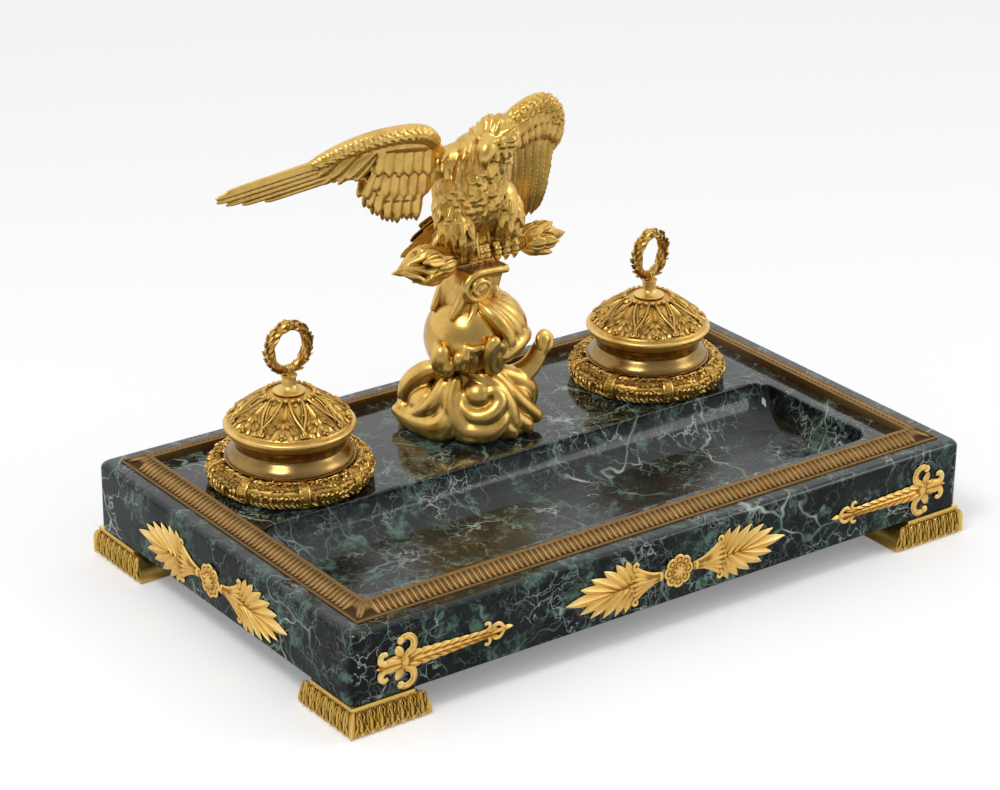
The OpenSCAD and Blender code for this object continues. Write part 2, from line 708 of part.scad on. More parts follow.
module globe() {
    color(gilt) at_group() difference() {
        translate([0, 0, globe_z]) sphere(globe_r);
        translate([0, 0, globe_z - globe_r - 1]) cylinder(h = 2 * globe_r + 2, r = rod_r + hole_gap);
    }
}

// block between globe and thunderbolt, with a rolled volute at its foot
module volute_outline() {
    high = bolt_z - bolt_r - 0.5;
    low = globe_z + 10 * cast;
    polygon([[volute_left + 3, low], [volute_right - 5, low], [volute_right - 4, high - 15 * cast],
        [volute_right - 0.5, high - 11 * cast], [volute_right, high], [bolt_x0 + 0.5, high],
        [bolt_x0 - 1.5, high - 4.5], [volute_left + 1, high - 7], [volute_left, high - 12 * cast]]);
}

module volute_cap() {
    roll_x = 2 * cast;
    roll_z = 83.5 * cast;
    color(gilt) at_group() difference() {
        union() {
            rotate([90, 0, 0]) linear_extrude(volute_d, center = true) volute_outline();
            translate([roll_x, 0, roll_z]) rotate([90, 0, 0]) {
                cylinder(h = volute_d + 5, r = volute_roll, center = true);
                cylinder(h = volute_d + 8, r = volute_roll * 0.68, center = true);
                cylinder(h = volute_d + 11, r = volute_roll * 0.36, center = true);
            }
        }
        translate([0, 0, globe_z]) sphere(globe_r + seam);
        translate([0, 0, globe_z])
            cylinder(h = bolt_z - bolt_r - rod_cover + hole_gap - globe_z, r = rod_r + hole_gap);
        translate([bolt_x0, 0, bolt_z]) rotate([0, 90, 0]) cylinder(h = bolt_len, r = bolt_r + seam);
    }
}

module tie_rod() {
    rod_bottom = foot_h + counterbore - 5;
    color(satin) translate([set_x, group_y, rod_bottom]) {
        cylinder(h = top + bolt_z - bolt_r - rod_cover - rod_bottom, r = rod_r);
    }
}

module tie_nut() {
    low = foot_h + counterbore;
    color(satin) translate([set_x, group_y, low]) difference() {
        union() {
            translate([0, 0, -1.6]) cylinder(h = 1.6, r = washer_r);
            translate([0, 0, -4.6]) cylinder(h = 3 + eps, r = 1.9 * rod_r, $fn = 6);
        }
        translate([0, 0, -5]) cylinder(h = 6, r = rod_r + hole_gap / 2);
    }
}

// ---------------------------------------------------------------- thunderbolt

// shaft of three twisted strands between two ringed collars, swept as one skin of rings
module thunderbolt_shaft() {
    n = 18;
    collar = 5;
    steps = 17;
    end_rings = [[0, bolt_r - 0.5, 0], [1, bolt_r - 0.5, 0], [1.3, bolt_r, 0],
        [3.8, bolt_r, 0], [4.1, bolt_r - 0.5, 0]];
    // every ring: place along the shaft, mean radius, depth of the strands
    rings = concat(end_rings,
        [for (i = [0:steps]) [mix(collar, bolt_len - collar, i / steps), bolt_r * 0.87, 0.14]],
        [for (i = [4:-1:0]) [bolt_len - end_rings[i][0], end_rings[i][1], 0]]);
    last = len(rings) - 1;
    pts = [for (g = rings, j = [0:n - 1]) let (a = 360 * j / n, r = g[1] * (1 + g[2] * cos(3 * a - 24 * g[0])))
        [g[0], r * cos(a), r * sin(a)]];
    skin = [for (i = [0:last - 1], j = [0:n - 1]) let (k = (j + 1) % n)
        [i * n + j, (i + 1) * n + j, (i + 1) * n + k, i * n + k]];
    color(gilt) at_group() translate([bolt_x0, 0, bolt_z])
        polyhedron(pts, concat(skin, [[for (j = [0:n - 1]) j], [for (j = [n - 1:-1:0]) last * n + j]]));
}

// flame at one end of the shaft: a cup of leaves with licking tongues, along +X from the origin
module flame(length) {
    cup = length * 0.45;
    // direction, spread and length of each tongue
    tongues = [[0, 0, 1], [62, 0.34, 0.9], [128, 0.32, 0.82],
        [190, 0.36, 0.88], [250, 0.3, 0.8], [310, 0.34, 0.86]];
    rotate([0, 90, 0]) rotate_extrude($fn = 16) polygon([[0, 0], [bolt_r - 0.4, 0], [bolt_r + 2.4, cup * 0.16],
        [bolt_r + 1, cup * 0.3], [bolt_r + 4.6, cup * 0.62], [bolt_r + 4.4, cup * 0.92],
        [bolt_r + 1, cup], [0, cup]]);
    for (k = tongues) {
        c = [0, cos(k[0]), sin(k[0])] * (k[1] * length * 0.5);
        curl = [0, cos(k[0] + 70), sin(k[0] + 70)] * 3;
        limbs([[cup * 0.55, c[1] * 0.7, c[2] * 0.7, 4.2],
            [length * 0.66 * k[2], c[1] + curl[1], c[2] + curl[2], 3.2],
            [length * 0.98 * k[2] - 0.8, c[1] * 0.7 - curl[1], c[2] * 0.7 - curl[2], 0.8]], 0, 6);
    }
}

module left_flame() {
    color(gilt) at_group() translate([bolt_x0 - seam, 0, bolt_z]) rotate([0, 0, 180]) flame(left_flame_len);
}

module right_flame() {
    color(gilt) at_group() translate([bolt_x1 + seam, 0, bolt_z]) flame(right_flame_len);
}

// ---------------------------------------------------------------- eagle

// the way the back of each wing's feathers looks
right_face = unit([0.08, -1, 0.12]);
left_face = unit([-0.5, -0.86, 0.1]);

module wing_root(arm, grow) {
    limb(arm[0], arm[1], grow);
}

// thigh, shank and toes; hip and heel are [x, y, z, radius]
module leg(hip, heel, toe_x) {
    grip_z = bolt_z + bolt_r;
    front_y = -bolt_r - 1.8;
    limb(hip, heel);
    limb(heel, [toe_x, -1, grip_z + 2.4, 2.8]);
    // three toes over the shaft's front and one behind
    for (s = [-1, 0, 1]) {
        limbs([[toe_x + s * 1.5, -1.5, grip_z + 2, 2.1], [toe_x + s * 3.6, front_y, bolt_z + 2.4, 1.9],
            [toe_x + s * 4, front_y + 0.4, bolt_z - 3.4, 0.8]], 0, 6);
    }
    limb([toe_x, 1, grip_z + 2, 2.2], [toe_x, bolt_r + 2, bolt_z + 0.5, 1.4], 0, 6);
}

module plumage() {
    // ruff of neck feathers
    for (i = [0:6]) {
        a = 200 + 24 * i;
        feather([6 + 9 * cos(a), -8 + 9 * sin(a), 163] * cast, [cos(a) * 0.5, sin(a) * 0.5, -1],
            [cos(a), sin(a), 0.4], 18 * cast, 9 * cast, 5 * cast);
    }
    // thighs
    for (x = [-6, 13], a = [230, 270, 310])
        feather([x + 5 * cos(a), 5 * sin(a), 124] * cast, [cos(a) * 0.2, sin(a) * 0.3, -1],
            [cos(a), sin(a), 0], 17 * cast, 8 * cast, 6 * cast);
}

module eagle_body() {
    side_cut = 20 * cast;
    color(gilt) at_group() difference() {
        union() {
            limbs(torso, 0, 14);
            limbs(neck, 0, 12);
            limb(shoulders[0], shoulders[1], 0, 12);
            // hooked beak, turned to the bird's right
            limbs(sized([[2, -24, 170, 5.4], [-4, -28, 167.5, 3.4], [-8, -29, 162.5, 1.1]]), 0, 8);
            plumage();
            leg([-8, 1, 123, 9.5] * cast, [-2, -1, 112, 5] * cast, toe_x = cast);
            leg([17, 1, 123, 9.5] * cast, [19, -1, 112, 5] * cast, toe_x = 19 * cast);
        }
        translate([bolt_x0, 0, bolt_z]) rotate([0, 90, 0]) cylinder(h = bolt_len, r = bolt_r + seam, $fn = 24);
        wing_root(right_arm, seam);
        wing_root(left_arm, seam);
        tail_block(seam);
        // flat where the right wing's feathers hang beside the body
        translate([-19.3 * cast - side_cut, -side_cut, 100 * cast]) cube([side_cut, 2 * side_cut, 52 * cast]);
        wing_screw_set(hole_gap);
    }
}

module eagle_right_wing() {
    color(gilt) at_group() difference() {
        union() {
            limbs(right_arm);
            // primaries, secondaries, tertials and two rows of coverts
            feather_row(right_arm, [0.84, 1], 7, [[-1, 0.05, -0.4], [-1, 0.06, -0.2]],
                [46, 55], [6, 4.6], 2.2, right_face, -1);
            feather_row(right_arm, [0.44, 0.86], 8, [[-0.42, 0.1, -1], [-0.95, 0.06, -0.62]],
                [30, 36], [7.5, 6.5], 2.2, right_face, -1);
            feather_row(right_arm, [0.2, 0.5], 6, [[-0.12, 0.1, -1], [-0.34, 0.1, -1]],
                [46, 42], [8.5, 8], 2.4, right_face, 0);
            feather_row(right_arm, [0.22, 0.62], 8, [[-0.12, 0.02, -1], [-0.5, 0, -1]],
                [31, 24], [8, 7], 2.4, right_face, 2);
            feather_row(right_arm, [0.24, 0.92], 10, [[-0.14, -0.05, -1], [-1, 0, -0.6]],
                [18, 13], [7, 5], 2.4, right_face, 3.4);
        }
        wing_screw_set(hole_gap);
    }
}

module eagle_left_wing() {
    color(gilt) at_group() difference() {
        union() {
            limbs(left_arm);
            // primaries, secondaries and two rows of coverts
            feather_row(left_arm, [0.72, 1], 6, [[-0.1, 0.3, -1], [0, 0.3, -1]],
                [66, 56], [8.5, 7], 2.2, left_face, -1);
            feather_row(left_arm, [0.3, 0.76], 7, [[-0.2, 0.24, -1], [-0.12, 0.3, -1]],
                [48, 62], [9.5, 8.5], 2.2, left_face, 0);
            feather_row(left_arm, [0.24, 0.94], 9, [[-0.16, 0.1, -1], [-0.1, 0.15, -1]],
                [28, 26], [8.5, 7], 2.4, left_face, 2);
            feather_row(left_arm, [0.26, 0.96], 8, [[-0.16, 0, -1], [-0.2, 0.1, -1]],
                [16, 14], [7, 5.5], 2.4, left_face, 3.4);
        }
        wing_screw_set(hole_gap);
    }
}

module tail_block(grow) {
    limb(tail_root, tail_root + [-4, 8, -8, -3] * cast, grow, 12);
}

module eagle_tail() {
    last = 8;
    color(gilt) at_group() {
        tail_block(0);
        for (i = [0:last]) {
            t = i / last - 0.5;
            feather(place(tail_root) + [10 * t - 4, 8, -6] * cast,
                [0.75 * t - 0.38, 0.42, -0.86], [0, 0.86, 0.42], (30 - 10 * t * t) * cast, 7 * cast, 2.6 * cast);
        }
    }
}

// two screws through each wing's root into the body
module wing_screw_set(gap = 0) {
    for (arm = [right_arm, left_arm], dz = [-4, 4])
        translate(place(arm[0]) + [0, 16, dz] * cast) rotate([90, 0, 0])
            cylinder(h = 20 * cast, r = 1.2 + gap, $fn = 16);
}

module wing_screws() {
    color(satin) at_group() wing_screw_set();
}

// ---------------------------------------------------------------- mounts on the slab's sides

// palmette from its root at the origin, leaves fanning along +X
module palmette_outline(reach) {
    start = rosette_r + 1;
    size = reach - start;
    // each pair of leaves: distance of its root along the stem, angle, length
    leaves = [[0.27, 66, 0.24], [0.3, 52, 0.28], [0.35, 39, 0.32], [0.42, 28, 0.35], [0.48, 16, 0.37]];
    translate([start, 0]) {
        // calyx that opens from the rosette to two curled ends
        edge = [[0, 0.04], [0.12, 0.06], [0.22, 0.15], [0.28, 0.17]];
        polygon(size * concat([for (p = edge) [p[0], -p[1]]], [[0.32, 0]], [for (i = [3:-1:0]) edge[i]]));
        for (s = [-1, 1]) translate([size * 0.25, s * size * 0.17]) circle(size * 0.03);
        translate([size * 0.15, 0]) leaf2d(size * 0.72, size * 0.26);
        for (k = leaves, s = [-1, 1])
            translate([size * k[0], 0]) rotate(s * k[1]) leaf2d(size * k[2], size * 0.115);
        translate([size * 0.5, 0]) leaf2d(size * 0.5, size * 0.12);
    }
}

module palmette(reach) {
    start = rosette_r + 1;
    size = reach - start;
    linear_extrude(mount_t * 0.65) palmette_outline(reach);
    // raised middle rib and its knot
    translate([start, 0, 0]) linear_extrude(mount_t) {
        leaf2d(size * 0.96, size * 0.07);
        translate([size * 0.3, 0]) circle(size * 0.08);
    }
}

module rosette() {
    linear_extrude(mount_t * 0.75) {
        circle(rosette_r * 0.68);
        for (a = sides(8)) rotate(a) translate([rosette_r * 0.66, 0]) circle(rosette_r * 0.31);
    }
    linear_extrude(mount_t * 1.1) for (a = sides(8))
        rotate(a + 22.5) translate([rosette_r * 0.36, 0]) circle(rosette_r * 0.17);
    linear_extrude(mount_t * 1.2) circle(rosette_r * 0.24);
}

// curl of bar width w: an arc of radius r from angle a0 over sweep degrees, with a round end
module curl(r, w, a0, sweep) {
    n = 10;
    pts = [for (i = [0:n]) a0 + sweep * i / n];
    polygon(concat([for (a = pts) (r + w / 2) * [cos(a), sin(a)]],
        [for (i = [n:-1:0]) (r - w / 2) * [cos(pts[i]), sin(pts[i])]]));
    translate(r * [cos(a0 + sweep), sin(a0 + sweep)]) circle(w * 0.68);
    translate(r * [cos(a0), sin(a0)]) circle(w * 0.5);
}

// torch with a fleur end at the origin and its tip on +X
module torch(length) {
    linear_extrude(mount_t * 0.7) {
        // fleur end
        leaf2d(length * 0.2, length * 0.09);
        for (s = [-1, 1]) mirror([0, s < 0 ? 1 : 0]) {
            translate([length * 0.07, length * 0.07]) curl(length * 0.042, length * 0.04, 320, -230);
            // big curled arm
            translate([length * 0.2, length * 0.112]) curl(length * 0.066, length * 0.05, -80, 215);
            // small cross curl at the shaft's end
            translate([length * 0.8, length * 0.056]) curl(length * 0.032, length * 0.026, -100, 200);
        }
        translate([length * 0.17, 0]) circle(length * 0.06);
        polygon([[length * 0.2, -length * 0.045], [length * 0.46, -length * 0.034],
            [length * 0.82, -length * 0.014], [length * 0.82, length * 0.014],
            [length * 0.46, length * 0.034], [length * 0.2, length * 0.045]]);
        // ring cluster and tip
        difference() {
            translate([length * 0.88, 0]) circle(length * 0.072);
            for (s = [-1, 1]) translate([length * 0.88, s * length * 0.034]) circle(length * 0.02);
        }
        translate([length * 0.9, 0]) leaf2d(length * 0.1, length * 0.035);
    }
    // raised rib along the shaft, sunk into the plate
    translate([0, 0, mount_t * 0.3]) linear_extrude(mount_t * 0.7)
        polygon([[length * 0.12, 0], [length * 0.2, -length * 0.03], [length * 0.46, -length * 0.022],
            [length * 0.84, -length * 0.009], [length * 0.84, length * 0.009],
            [length * 0.46, length * 0.022], [length * 0.2, length * 0.03]]);
}

// face of the slab: front, left or right, with local +X along the slab's edge and +Z out of it
module on_front(x) {
    translate([x, -slab_d / 2, front_mount_z]) rotate([90, 0, 0]) children();
}

module on_side(s, y) {
    translate([s * slab_w / 2, y, side_mount_z]) rotate([90, 0, 90 * s]) children();
}

module front_left_palmette() { color(mount_gold) on_front(front_x) rotate(180) palmette(palmette_reach); }
module front_right_palmette() { color(mount_gold) on_front(front_x) palmette(palmette_reach); }
module front_rosette() { color(mount_gold) on_front(front_x) rosette(); }
module left_front_palmette() { color(mount_gold) on_side(-1, side_y) palmette(palmette_reach); }
module left_back_palmette() { color(mount_gold) on_side(-1, side_y) rotate(180) palmette(palmette_reach); }
module left_rosette() { color(mount_gold) on_side(-1, side_y) rosette(); }
module right_front_palmette() { color(mount_gold) on_side(1, side_y) rotate(180) palmette(palmette_reach); }
module right_back_palmette() { color(mount_gold) on_side(1, side_y) palmette(palmette_reach); }
module right_rosette() { color(mount_gold) on_side(1, side_y) rosette(); }
module front_left_torch() { color(mount_gold) on_front(front_x - torch_far) torch(torch_len); }
module front_right_torch() {
    color(mount_gold) on_front(front_x + torch_far) mirror([1, 0, 0]) torch(torch_len);
}
module mount_pins() { color(mount_gold) mount_pin_set(); }

marble_slab();
rail_front();
rail_back();
rail_left();
rail_right();
rail_pins();
foot_front_left();
foot_front_right();
foot_back_left();
foot_back_right();
foot_screws();
left_wreath_ring();
right_wreath_ring();
left_drum();
right_drum();
left_ink_cup();
right_ink_cup();
well_bolts();
left_lid();
right_lid();
left_lid_stem();
right_lid_stem();
left_laurel_ring();
right_laurel_ring();
left_lid_nut();
right_lid_nut();
cloud_base();
globe();
volute_cap();
tie_rod();
tie_nut();
thunderbolt_shaft();
left_flame();
right_flame();
eagle_body();
eagle_right_wing();
eagle_left_wing();
eagle_tail();
wing_screws();
front_left_palmette();
front_right_palmette();
front_rosette();
left_front_palmette();
left_back_palmette();
left_rosette();
right_front_palmette();
right_back_palmette();
right_rosette();
front_left_torch();
front_right_torch();
mount_pins();
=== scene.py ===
# %% [markdown]
# # A desk inkstand of dark green marble and gilt bronze
#
# The inkstand is a slab of polished marble on four cast feet. A gilt border runs round its top, a pen tray is
# sunk into its front half, and two lidded inkwells and an eagle stand behind the tray. The measuring model comes
# first: its named nodes say where every piece is. Each cell then builds one piece, larger forms before ornament.

import json
from math import cos, degrees, exp, pi, radians, sin, sqrt

import bpy
import numpy as np
from mathutils import Matrix, Vector
from mathutils.bvhtree import BVHTree

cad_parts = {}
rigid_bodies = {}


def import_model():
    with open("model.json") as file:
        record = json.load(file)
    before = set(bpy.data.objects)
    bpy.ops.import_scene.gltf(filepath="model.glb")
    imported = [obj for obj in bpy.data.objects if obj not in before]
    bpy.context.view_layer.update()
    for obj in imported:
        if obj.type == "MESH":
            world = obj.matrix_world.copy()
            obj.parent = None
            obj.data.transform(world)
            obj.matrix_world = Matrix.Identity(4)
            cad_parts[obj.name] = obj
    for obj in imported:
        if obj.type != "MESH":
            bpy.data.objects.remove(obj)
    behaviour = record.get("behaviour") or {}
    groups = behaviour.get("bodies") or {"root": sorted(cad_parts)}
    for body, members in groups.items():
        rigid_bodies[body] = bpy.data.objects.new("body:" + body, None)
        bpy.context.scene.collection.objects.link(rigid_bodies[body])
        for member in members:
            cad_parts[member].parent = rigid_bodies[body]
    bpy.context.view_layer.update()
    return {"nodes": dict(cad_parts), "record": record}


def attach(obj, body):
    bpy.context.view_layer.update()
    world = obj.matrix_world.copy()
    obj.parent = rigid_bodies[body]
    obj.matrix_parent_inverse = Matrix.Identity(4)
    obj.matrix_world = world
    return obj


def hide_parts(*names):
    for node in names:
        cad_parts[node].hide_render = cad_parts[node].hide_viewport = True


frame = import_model()

# %% [markdown]
# ## Sizes that several pieces share
#
# A maker thinks in millimetres and Blender in metres, so every shape below is drawn in millimetres and made
# small once, when its mesh is made. The origin is the middle of the footprint on the desk.

# %% Shared sizes, in millimetres
MM = 0.001
SLAB_W, SLAB_D, SLAB_H, FOOT_H = 410.0, 252.0, 40.0, 16.5
SLAB_TOP = FOOT_H + SLAB_H
SET_X = -6.0                               # the inkwells, tray and eagle stand a little left of the middle
WELLS = {"left": (-129.5, 47.5), "right": (117.5, 47.5)}
EAGLE_AT = np.array([SET_X, 54.0, SLAB_TOP])
print("slab", SLAB_W, "x", SLAB_D, "mm; inkwells at", WELLS)

# %% [markdown]
# ## How shapes are drawn
#
# Nearly every casting here is one of four things: a skin stretched over rings of points, a turned profile, a tube
# that follows a line, or a leaf. The helpers below make those as closed shells of points and faces. A closed
# shell has an inside, so its signed volume tells whether its faces look outwards.

# %% Shells of points and faces
def unit(v):
    v = np.asarray(v, float)
    return v / max(np.linalg.norm(v), 1e-9)


def outward(verts, faces):
    """The same closed shell with its faces looking outwards."""
    v = np.asarray(verts, float)
    tris = np.array([(f[0], f[i], f[i + 1]) for f in faces for i in range(1, len(f) - 1)])
    a, b, c = v[tris[:, 0]], v[tris[:, 1]], v[tris[:, 2]]
    volume = np.einsum("ij,ij->i", a, np.cross(b, c)).sum()
    return v, (faces if volume >= 0 else [tuple(reversed(f)) for f in faces])


def join(shells):
    verts, faces, count = [], [], 0
    for v, f in shells:
        verts.append(v)
        faces += [tuple(i + count for i in face) for face in f]
        count += len(v)
    return np.concatenate(verts), faces


def skin(rings, ends=True):
    """A skin over rings of equally many points, closed by a point in the middle of each end."""
    rings = np.asarray(rings, float)
    m, n = rings.shape[:2]
    verts = rings.reshape(-1, 3)
    faces = [(i * n + j, i * n + (j + 1) % n, (i + 1) * n + (j + 1) % n, (i + 1) * n + j)
             for i in range(m - 1) for j in range(n)]
    if ends:
        verts = np.vstack([verts, rings[0].mean(0), rings[-1].mean(0)])
        faces += [(m * n, (j + 1) % n, j) for j in range(n)]
        faces += [(m * n + 1, (m - 1) * n + j, (m - 1) * n + (j + 1) % n) for j in range(n)]
    else:
        faces += [((m - 1) * n + j, (m - 1) * n + (j + 1) % n, (j + 1) % n, j) for j in range(n)]
    return outward(verts, faces)


def spline(points, count):
    """Points on a smooth curve through the given ones; any further numbers, such as a radius, blend too."""
    p = np.array(points, float)
    m = len(p)
    t = np.linspace(0, m - 1, count)
    i = np.clip(t.astype(int), 0, m - 2)
    u = (t - i)[:, None]
    p0, p1, p2, p3 = p[np.clip(i - 1, 0, m - 1)], p[i], p[i + 1], p[np.clip(i + 2, 0, m - 1)]
    return 0.5 * (2 * p1 + (p2 - p0) * u + (2 * p0 - 5 * p1 + 4 * p2 - p3) * u ** 2 + (3 * p1 - p0 - 3 * p2 + p3) * u ** 3)


def tube(path, sides=10, flat=1.0, up=(0, 0, 1), steps=None, strands=0, depth=0.0, pitch=0.0, round_ends=True):
    """A tube through [x, y, z, radius] points. strands, depth and pitch twist it like rope; flat squeezes it along up."""
    p = spline(path, steps or 5 * len(path))
    line, radius = p[:, :3], np.maximum(p[:, 3], 0.05)
    if round_ends:                         # half a ball at each end
        lead, tail = unit(line[0] - line[1]), unit(line[-1] - line[-2])
        bow = [(cos(a), sin(a)) for a in (1.2, 0.85, 0.45)]
        first, last = radius[0], radius[-1]
        line = np.vstack([[line[0] + lead * first * s for c, s in bow], line, [line[-1] + tail * last * s for c, s in bow[::-1]]])
        radius = np.concatenate([[first * c for c, s in bow], radius, [last * c for c, s in bow[::-1]]])
    ahead = np.gradient(line, axis=0)
    ahead /= np.linalg.norm(ahead, axis=1)[:, None]
    side = unit(np.cross(up, ahead[0]) if np.linalg.norm(np.cross(up, ahead[0])) > 0.05 else np.cross((0.3, 1, 0.2), ahead[0]))
    run = np.concatenate([[0], np.cumsum(np.linalg.norm(np.diff(line, axis=0), axis=1))])
    a = np.linspace(0, 2 * pi, sides, endpoint=False)
    rings = []
    for c, d, r, s in zip(line, ahead, radius, run):
        side = unit(side - d * (side @ d))
        over = np.cross(d, side)
        wave = r * (1 + depth * np.cos(strands * a - pitch * s))
        rings.append(c + np.outer(wave * np.cos(a), side) + np.outer(flat * wave * np.sin(a), over))
    return skin(rings)


def turned(profile, steps=96, at=(0, 0, 0)):
    """A profile of (radius, height) points turned about an upright axis; it is closed where the radius is 0."""
    profile = [(max(r, 0.0), z) for r, z in profile]
    a = np.linspace(0, 2 * pi, steps, endpoint=False)
    inner = [p for p in profile if p[0] > 1e-6]
    rings = np.array([np.stack([r * np.cos(a), r * np.sin(a), np.full(steps, z)], 1) for r, z in inner])
    closed = profile[0][0] > 1e-6
    verts, faces = skin(rings, ends=not closed)
    if not closed:
        verts[-2], verts[-1] = (0, 0, profile[0][1]), (0, 0, profile[-1][1])
        verts, faces = outward(verts, faces)
    return verts + np.array(at, float), faces


def ball(at, r, rows=8, steps=12, squeeze=(1, 1, 1)):
    t = np.linspace(0, pi, rows + 1)
    arc = [(r * sin(x) if 0 < i < rows else 0, -r * cos(x)) for i, x in enumerate(t)]
    v, f = turned(arc, steps)
    return v * np.array(squeeze) + np.array(at, float), f


# how far half a leaf's width is from the middle, along its length, for three kinds of leaf
LEAF_KINDS = {
    "laurel": lambda s: np.sin(np.pi * np.clip(s, 0, 1) ** 0.8) ** 0.8,
    "feather": lambda s: np.clip(0.42 + 0.9 * s, 0, 1) * np.sqrt(np.clip(1 - np.clip((s - 0.74) / 0.26, 0, 1) ** 2.4, 0, 1)),
    "tongue": lambda s: ((0.62 + 0.38 * np.sin(np.pi * s * 0.9))
                         * np.sqrt(np.clip(1 - np.clip((s - 0.7) / 0.3, 0, 1) ** 2, 0, 1))),
    "petal": lambda s: np.clip(0.35 + 1.3 * s, 0, 1) * np.sqrt(np.clip(1 - np.clip((s - 0.55) / 0.45, 0, 1) ** 2, 0, 1)),
}


def leaf(length, width, thick, kind="laurel", steps=9, bend=0.0, sway=0.0, rib=0.35, cup=0.0, under=0.5):
    """A closed leaf from the origin along +X, its face up. bend drops its tip, sway curves it sideways, cup hollows it."""
    s = np.linspace(0, 1, steps)
    s = 1 - (1 - s) ** 1.25                # closer rings at the tip, where the outline is round
    half = width / 2 * np.maximum(LEAF_KINDS[kind](s), 0.02)
    over = np.array([-1, -0.6, -0.16, 0, 0.16, 0.6, 1])
    below = np.array([0.6, 0.1, -0.1, -0.6])
    rings = []
    for u, h in zip(s, half):
        swell = min(1.0, 4 * (1 - u) + 0.25)
        top = thick * swell * ((1 - over ** 2) * 0.55 - cup * (1 - np.abs(over)) + rib * np.exp(-(over / 0.12) ** 2))
        low = -thick * under * (1 - below ** 2) * swell
        t, z = np.concatenate([over, below]), np.concatenate([top, low])
        rings.append(np.stack([np.full(len(t), length * u), h * t + sway * length * u * u, z - bend * length * u * u], 1))
    return skin(rings)


def axes_of(ahead, face):
    """Three square directions: along ahead, across, and as near to face as they allow."""
    d = unit(ahead)
    s = unit(np.cross(face, d))
    return d, s, np.cross(d, s)


def set_on(shell, at, ahead, face):
    """Moves a shell drawn at the origin so that +X lies along ahead and +Z along face."""
    v, f = shell
    d, s, n = axes_of(ahead, face)
    return np.asarray(at, float) + (np.outer(v[:, 0], d) + np.outer(v[:, 1], s) + np.outer(v[:, 2], n)), f


def put(shell, x, y, angle, lift=0.0):
    """Places a shell on a flat drawing at x, y, turned by an angle in degrees."""
    c, s = cos(radians(angle)), sin(radians(angle))
    return set_on(shell, (x, y, lift), (c, s, 0), (0, 0, 1))


def spun(shell, turn, at=(0, 0, 0)):
    v, f = shell
    c, s = cos(radians(turn)), sin(radians(turn))
    return np.stack([v[:, 0] * c - v[:, 1] * s, v[:, 0] * s + v[:, 1] * c, v[:, 2]], 1) + np.array(at, float), f


def mesh_of(name, shell):
    mesh = bpy.data.meshes.new(name)
    mesh.from_pydata((shell[0] * MM).tolist(), [], [tuple(int(i) for i in f) for f in shell[1]])
    mesh.update()
    return mesh


print("a laurel leaf has", len(leaf(10, 4, 1)[1]), "faces")

# %% [markdown]
# ## Copies made by Geometry Nodes
#
# Leaves, beads and feathers repeat. Each tree below takes one drawn leaf and copies it: round an axis, along a
# straight line, or onto marked points that carry their own turn and size. Realize Instances then turns the copies
# into plain faces, and Set Material gives them their finish, so that nothing is lost in the export.

# %% Node trees that copy one shape
def add_node(tree, kind, inputs=(), **settings):
    node = tree.nodes.new(kind)
    for key, value in settings.items():
        setattr(node, key, value)
    for key, value in dict(inputs).items():
        socket = node.inputs[key]
        if isinstance(value, bpy.types.NodeSocket):
            tree.links.new(value, socket)
        else:
            socket.default_value = value
    return node


def calc(tree, operation, *values):
    """The result of a math node on numbers or sockets."""
    return add_node(tree, "ShaderNodeMath", dict(enumerate(values)), operation=operation).outputs[0]


def vector(tree, operation, *values):
    """The result of a vector math node on vectors or sockets."""
    return add_node(tree, "ShaderNodeVectorMath", dict(enumerate(values)), operation=operation).outputs


def eased(tree, value, low, high, first=0.0, last=1.0):
    """A value that goes from first to last, with a soft start and end, while the given one goes from low to high."""
    span = {"Value": value, "From Min": low, "From Max": high, "To Min": first, "To Max": last}
    return add_node(tree, "ShaderNodeMapRange", span, interpolation_type="SMOOTHSTEP").outputs[0]


def noise_at(tree, place, scale, detail, rough):
    """The outputs of a noise texture at the given places."""
    return add_node(tree, "ShaderNodeTexNoise", {"Vector": place, "Scale": scale, "Detail": detail, "Roughness": rough}).outputs


def mixed(tree, factor, a, b):
    """A colour from a to b; each is a socket or red, green and blue."""
    a, b = (c if isinstance(c, bpy.types.NodeSocket) else (*c, 1) for c in (a, b))
    return add_node(tree, "ShaderNodeMix", {"Factor": factor, 6: a, 7: b}, data_type="RGBA").outputs[2]


